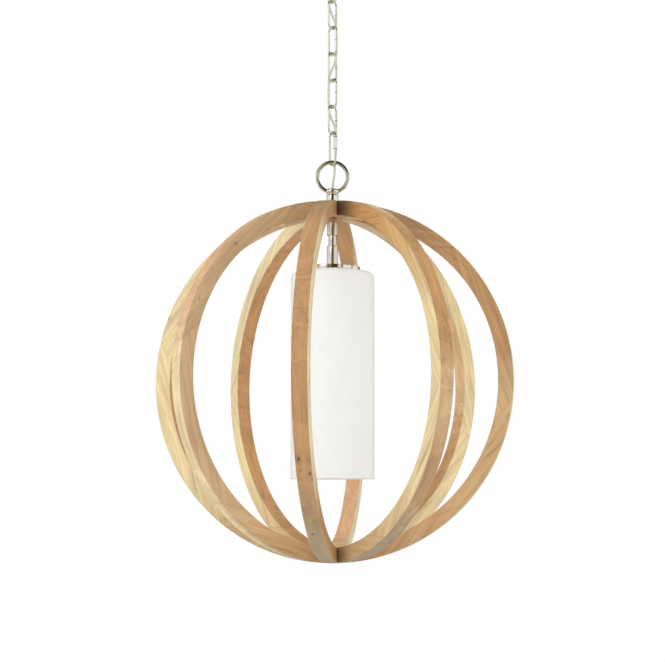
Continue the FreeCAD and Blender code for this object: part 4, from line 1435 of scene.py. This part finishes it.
class PENDANT_OT_bulb(bpy.types.Operator):
    """Makes the bulb: frosted globe, rolled screw cap and end contact"""
    bl_idname = "pendant.bulb"
    bl_label = "Bulb"

    def execute(self, context):
        shade = context.scene.pendant_shade
        metal = context.scene.pendant_metal
        self.cap(shade, metal)
        self.globe(shade)
        paint("bulb_contact", brass(metal))
        return {"FINISHED"}

    def cap(self, shade, metal):
        radius, top, bottom = level("bulb_cap")
        wall, neck = 0.4 * MM, 5 * MM
        depth, step = 1 * MM, 0.3 * MM
        high, low = top - neck, bottom + 5 * MM
        ceiling = top - 2 * wall
        side, thread = threaded_wall(radius, high, low, shade.bulb_pitch, depth, step)
        points = [(0, top), (neck, top), *side, (radius, bottom), (radius - wall, bottom),
                  (radius - 3 * wall - depth, high - wall), (neck, ceiling), (0, ceiling)]
        material = marked_material("bulb_cap_metal", metal.zinc, 0.22, 0.5, metallic=1.0)
        cap = turned("bulb_screw_cap", points, material, around=72, thread=thread, smooth_deg=60)
        finished(cap, "bulb", "bulb_cap")

    def globe(self, shade):
        outer, top, bottom = level("bulb_globe")
        neck, wall = 12.5 * MM, 1 * MM
        mouth = top - 8 * MM

        def half_profile(radius, narrow, low):
            """Points from the foot of the globe, round it and up its taper to the neck."""
            middle = low + radius
            lean = math.asin((radius - narrow) / math.hypot(mouth - middle, radius - narrow))
            steps, taper_steps = 28, 6
            arc = [-math.pi / 2 + (math.pi / 2 + lean) * k / steps for k in range(steps + 1)]
            points = [(max(0, radius * math.cos(a)), middle + radius * math.sin(a)) for a in arc]
            points[0] = (0, low)
            waist, foot = Vector(points[-1]), Vector((narrow, mouth))
            return points + [tuple(waist.lerp(foot, k / taper_steps)) for k in range(1, taper_steps + 1)]

        outside = half_profile(outer, neck, bottom) + [(neck, top)]
        inside = half_profile(outer - wall, neck - wall, bottom + wall) + [(neck - wall, top)]
        material = marked_material("bulb_frosted", shade.frosted, 0.4, 0.3, bump=0.03,
                                   Transmission_Weight=0.3, IOR=1.45)
        globe = turned("bulb_glass", outside + inside[::-1], material, smooth_deg=60)
        finished(globe, "bulb", "bulb_globe")


# Stage

# Size of the soft lamp and its place from the cage's middle
KEY_SIZE = 2.2
KEY_PLACE = (-1.5, -1.9, 1.7)

# Where the white panels fade in and out, in degrees round from the front
PANEL_START_DEG = (18, 30)
PANEL_END_DEG = (122, 140)

# Where the panels fade out above and below, as a share of the way up or down
PANEL_TOP = (0.26, 0.56)


class PENDANT_OT_stage(bpy.types.Operator):
    """Sets the camera, the soft light, the white surroundings and the floor"""
    bl_idname = "pendant.stage"
    bl_label = "Stage"

    def execute(self, context):
        stage = context.scene.pendant_stage
        middle = UP * (level("wood_ring_d")[1] - context.scene.pendant_hoops.diameter / 2)
        self.camera(context, stage, middle)
        self.light(stage, middle)
        self.world(context, stage)
        self.floor(stage)
        context.scene.view_settings.view_transform = "Standard"
        return {"FINISHED"}

    def camera(self, context, stage, middle):
        data = bpy.data.cameras.new("camera")
        data.sensor_width = 36
        data.lens = stage.lens
        data.shift_y = stage.shift_y
        data.clip_start = 0.05
        data.clip_end = 50
        camera = new_object("camera", data)
        away = Vector((0, -math.cos(stage.pitch), math.sin(stage.pitch)))
        camera.location = middle + away * stage.distance
        camera.rotation_euler = (math.pi / 2 - stage.pitch, 0, 0)
        context.scene.camera = camera

    def light(self, stage, middle):
        data = bpy.data.lights.new("key", "AREA")
        data.shape = "DISK"
        data.size = KEY_SIZE
        data.energy = stage.key
        lamp = new_object("key", data)
        lamp.location = middle + Vector(KEY_PLACE)
        lamp.rotation_euler = (middle - lamp.location).to_track_quat("-Z", "Y").to_euler()

    def world(self, context, stage):
        """Even light that shows white to the camera, and to polished metal white panels at the sides."""
        world = bpy.data.worlds.new("studio")
        context.scene.world = world
        world.use_nodes = True
        world.node_tree.nodes.clear()
        net = Net(world.node_tree)
        rays = net.add("ShaderNodeLightPath").outputs
        generated = net.add("ShaderNodeTexCoord").outputs["Generated"]
        way = net.add("ShaderNodeSeparateXYZ", {0: generated}).outputs
        turn = net.calc("ABSOLUTE", net.calc("ARCTAN2", way["X"], net.mul(way["Y"], -1.0)))
        start = net.ease(turn, *map(math.radians, PANEL_START_DEG))
        end = net.ease(turn, *map(math.radians, PANEL_END_DEG), 1.0, 0.0)
        height = net.ease(net.calc("ABSOLUTE", way["Z"]), *PANEL_TOP, 1.0, 0.0)
        panel = net.mul(net.mul(start, end), height)
        seen = net.blend(panel, tuple(stage.band), (1, 1, 1))
        mirrored, white, even = (
            net.first("ShaderNodeBackground", {0: shown, 1: strength})
            for shown, strength in ((seen, 1.0), ((1, 1, 1), 1.0), ((1, 1, 1), stage.ambient)))
        direct = net.most(rays["Is Camera Ray"], rays["Is Transmission Ray"])
        lit = net.first("ShaderNodeMixShader", {0: rays["Is Glossy Ray"], 1: even, 2: mirrored})
        whole = net.first("ShaderNodeMixShader", {0: direct, 1: lit, 2: white})
        net.add("ShaderNodeOutputWorld", {"Surface": whole})

    def floor(self, stage):
        """Pale floor that carries the shadow and shows white to the camera."""
        shape = bmesh.new()
        bmesh.ops.create_circle(shape, cap_ends=True, radius=stage.floor_radius, segments=96)
        bmesh.ops.translate(shape, verts=shape.verts, vec=(0, 0, stage.floor_height))
        bmesh.ops.recalc_face_normals(shape, faces=shape.faces)
        material, net, surface = new_material("floor")
        mottle = net.noise(net.place(), (3, 3, 3))
        tint = net.scaled(tuple(stage.floor), net.mul_add(mottle, 0.02, 0.99))
        net.put(surface["Base Color"], tint)
        surface["Roughness"].default_value = 0.7
        shape_object("floor", shape, material)


# Panel and registration

OPERATORS = (PENDANT_OT_stage, PENDANT_OT_flex, PENDANT_OT_hoops, PENDANT_OT_chain, PENDANT_OT_holder,
             PENDANT_OT_ceiling, PENDANT_OT_stem, PENDANT_OT_glass, PENDANT_OT_lampholder,
             PENDANT_OT_bulb)
SETTINGS = {"pendant_hoops": HoopSettings, "pendant_metal": MetalSettings, "pendant_shade": ShadeSettings,
            "pendant_wires": WireSettings, "pendant_stage": StageSettings}


class PENDANT_PT_panel(bpy.types.Panel):
    """Lists the pendant's pieces and settings"""
    bl_idname = "PENDANT_PT_panel"
    bl_label = "Wooden cage pendant"
    bl_space_type = "VIEW_3D"
    bl_region_type = "UI"
    bl_category = "Pendant"

    def draw(self, context):
        for operator in OPERATORS:
            self.layout.operator(operator.bl_idname)
        for name, kind in SETTINGS.items():
            box = self.layout.box()
            box.label(text=kind.__doc__)
            for field in kind.__annotations__:
                box.prop(getattr(context.scene, name), field)


def register():
    for kind in (*SETTINGS.values(), *OPERATORS, PENDANT_PT_panel):
        bpy.utils.register_class(kind)
    for name, kind in SETTINGS.items():
        setattr(bpy.types.Scene, name, bpy.props.PointerProperty(type=kind))


def unregister():
    for name in SETTINGS:
        delattr(bpy.types.Scene, name)
    for kind in reversed((*SETTINGS.values(), *OPERATORS, PENDANT_PT_panel)):
        bpy.utils.unregister_class(kind)


def main():
    register()
    bpy.ops.pendant.stage()
    bpy.ops.pendant.flex()
    bpy.ops.pendant.hoops()
    bpy.ops.pendant.chain()
    bpy.ops.pendant.holder()
    bpy.ops.pendant.ceiling()
    bpy.ops.pendant.stem()
    bpy.ops.pendant.glass()
    bpy.ops.pendant.lampholder()
    bpy.ops.pendant.bulb()


if __name__ == "__main__":
    main()
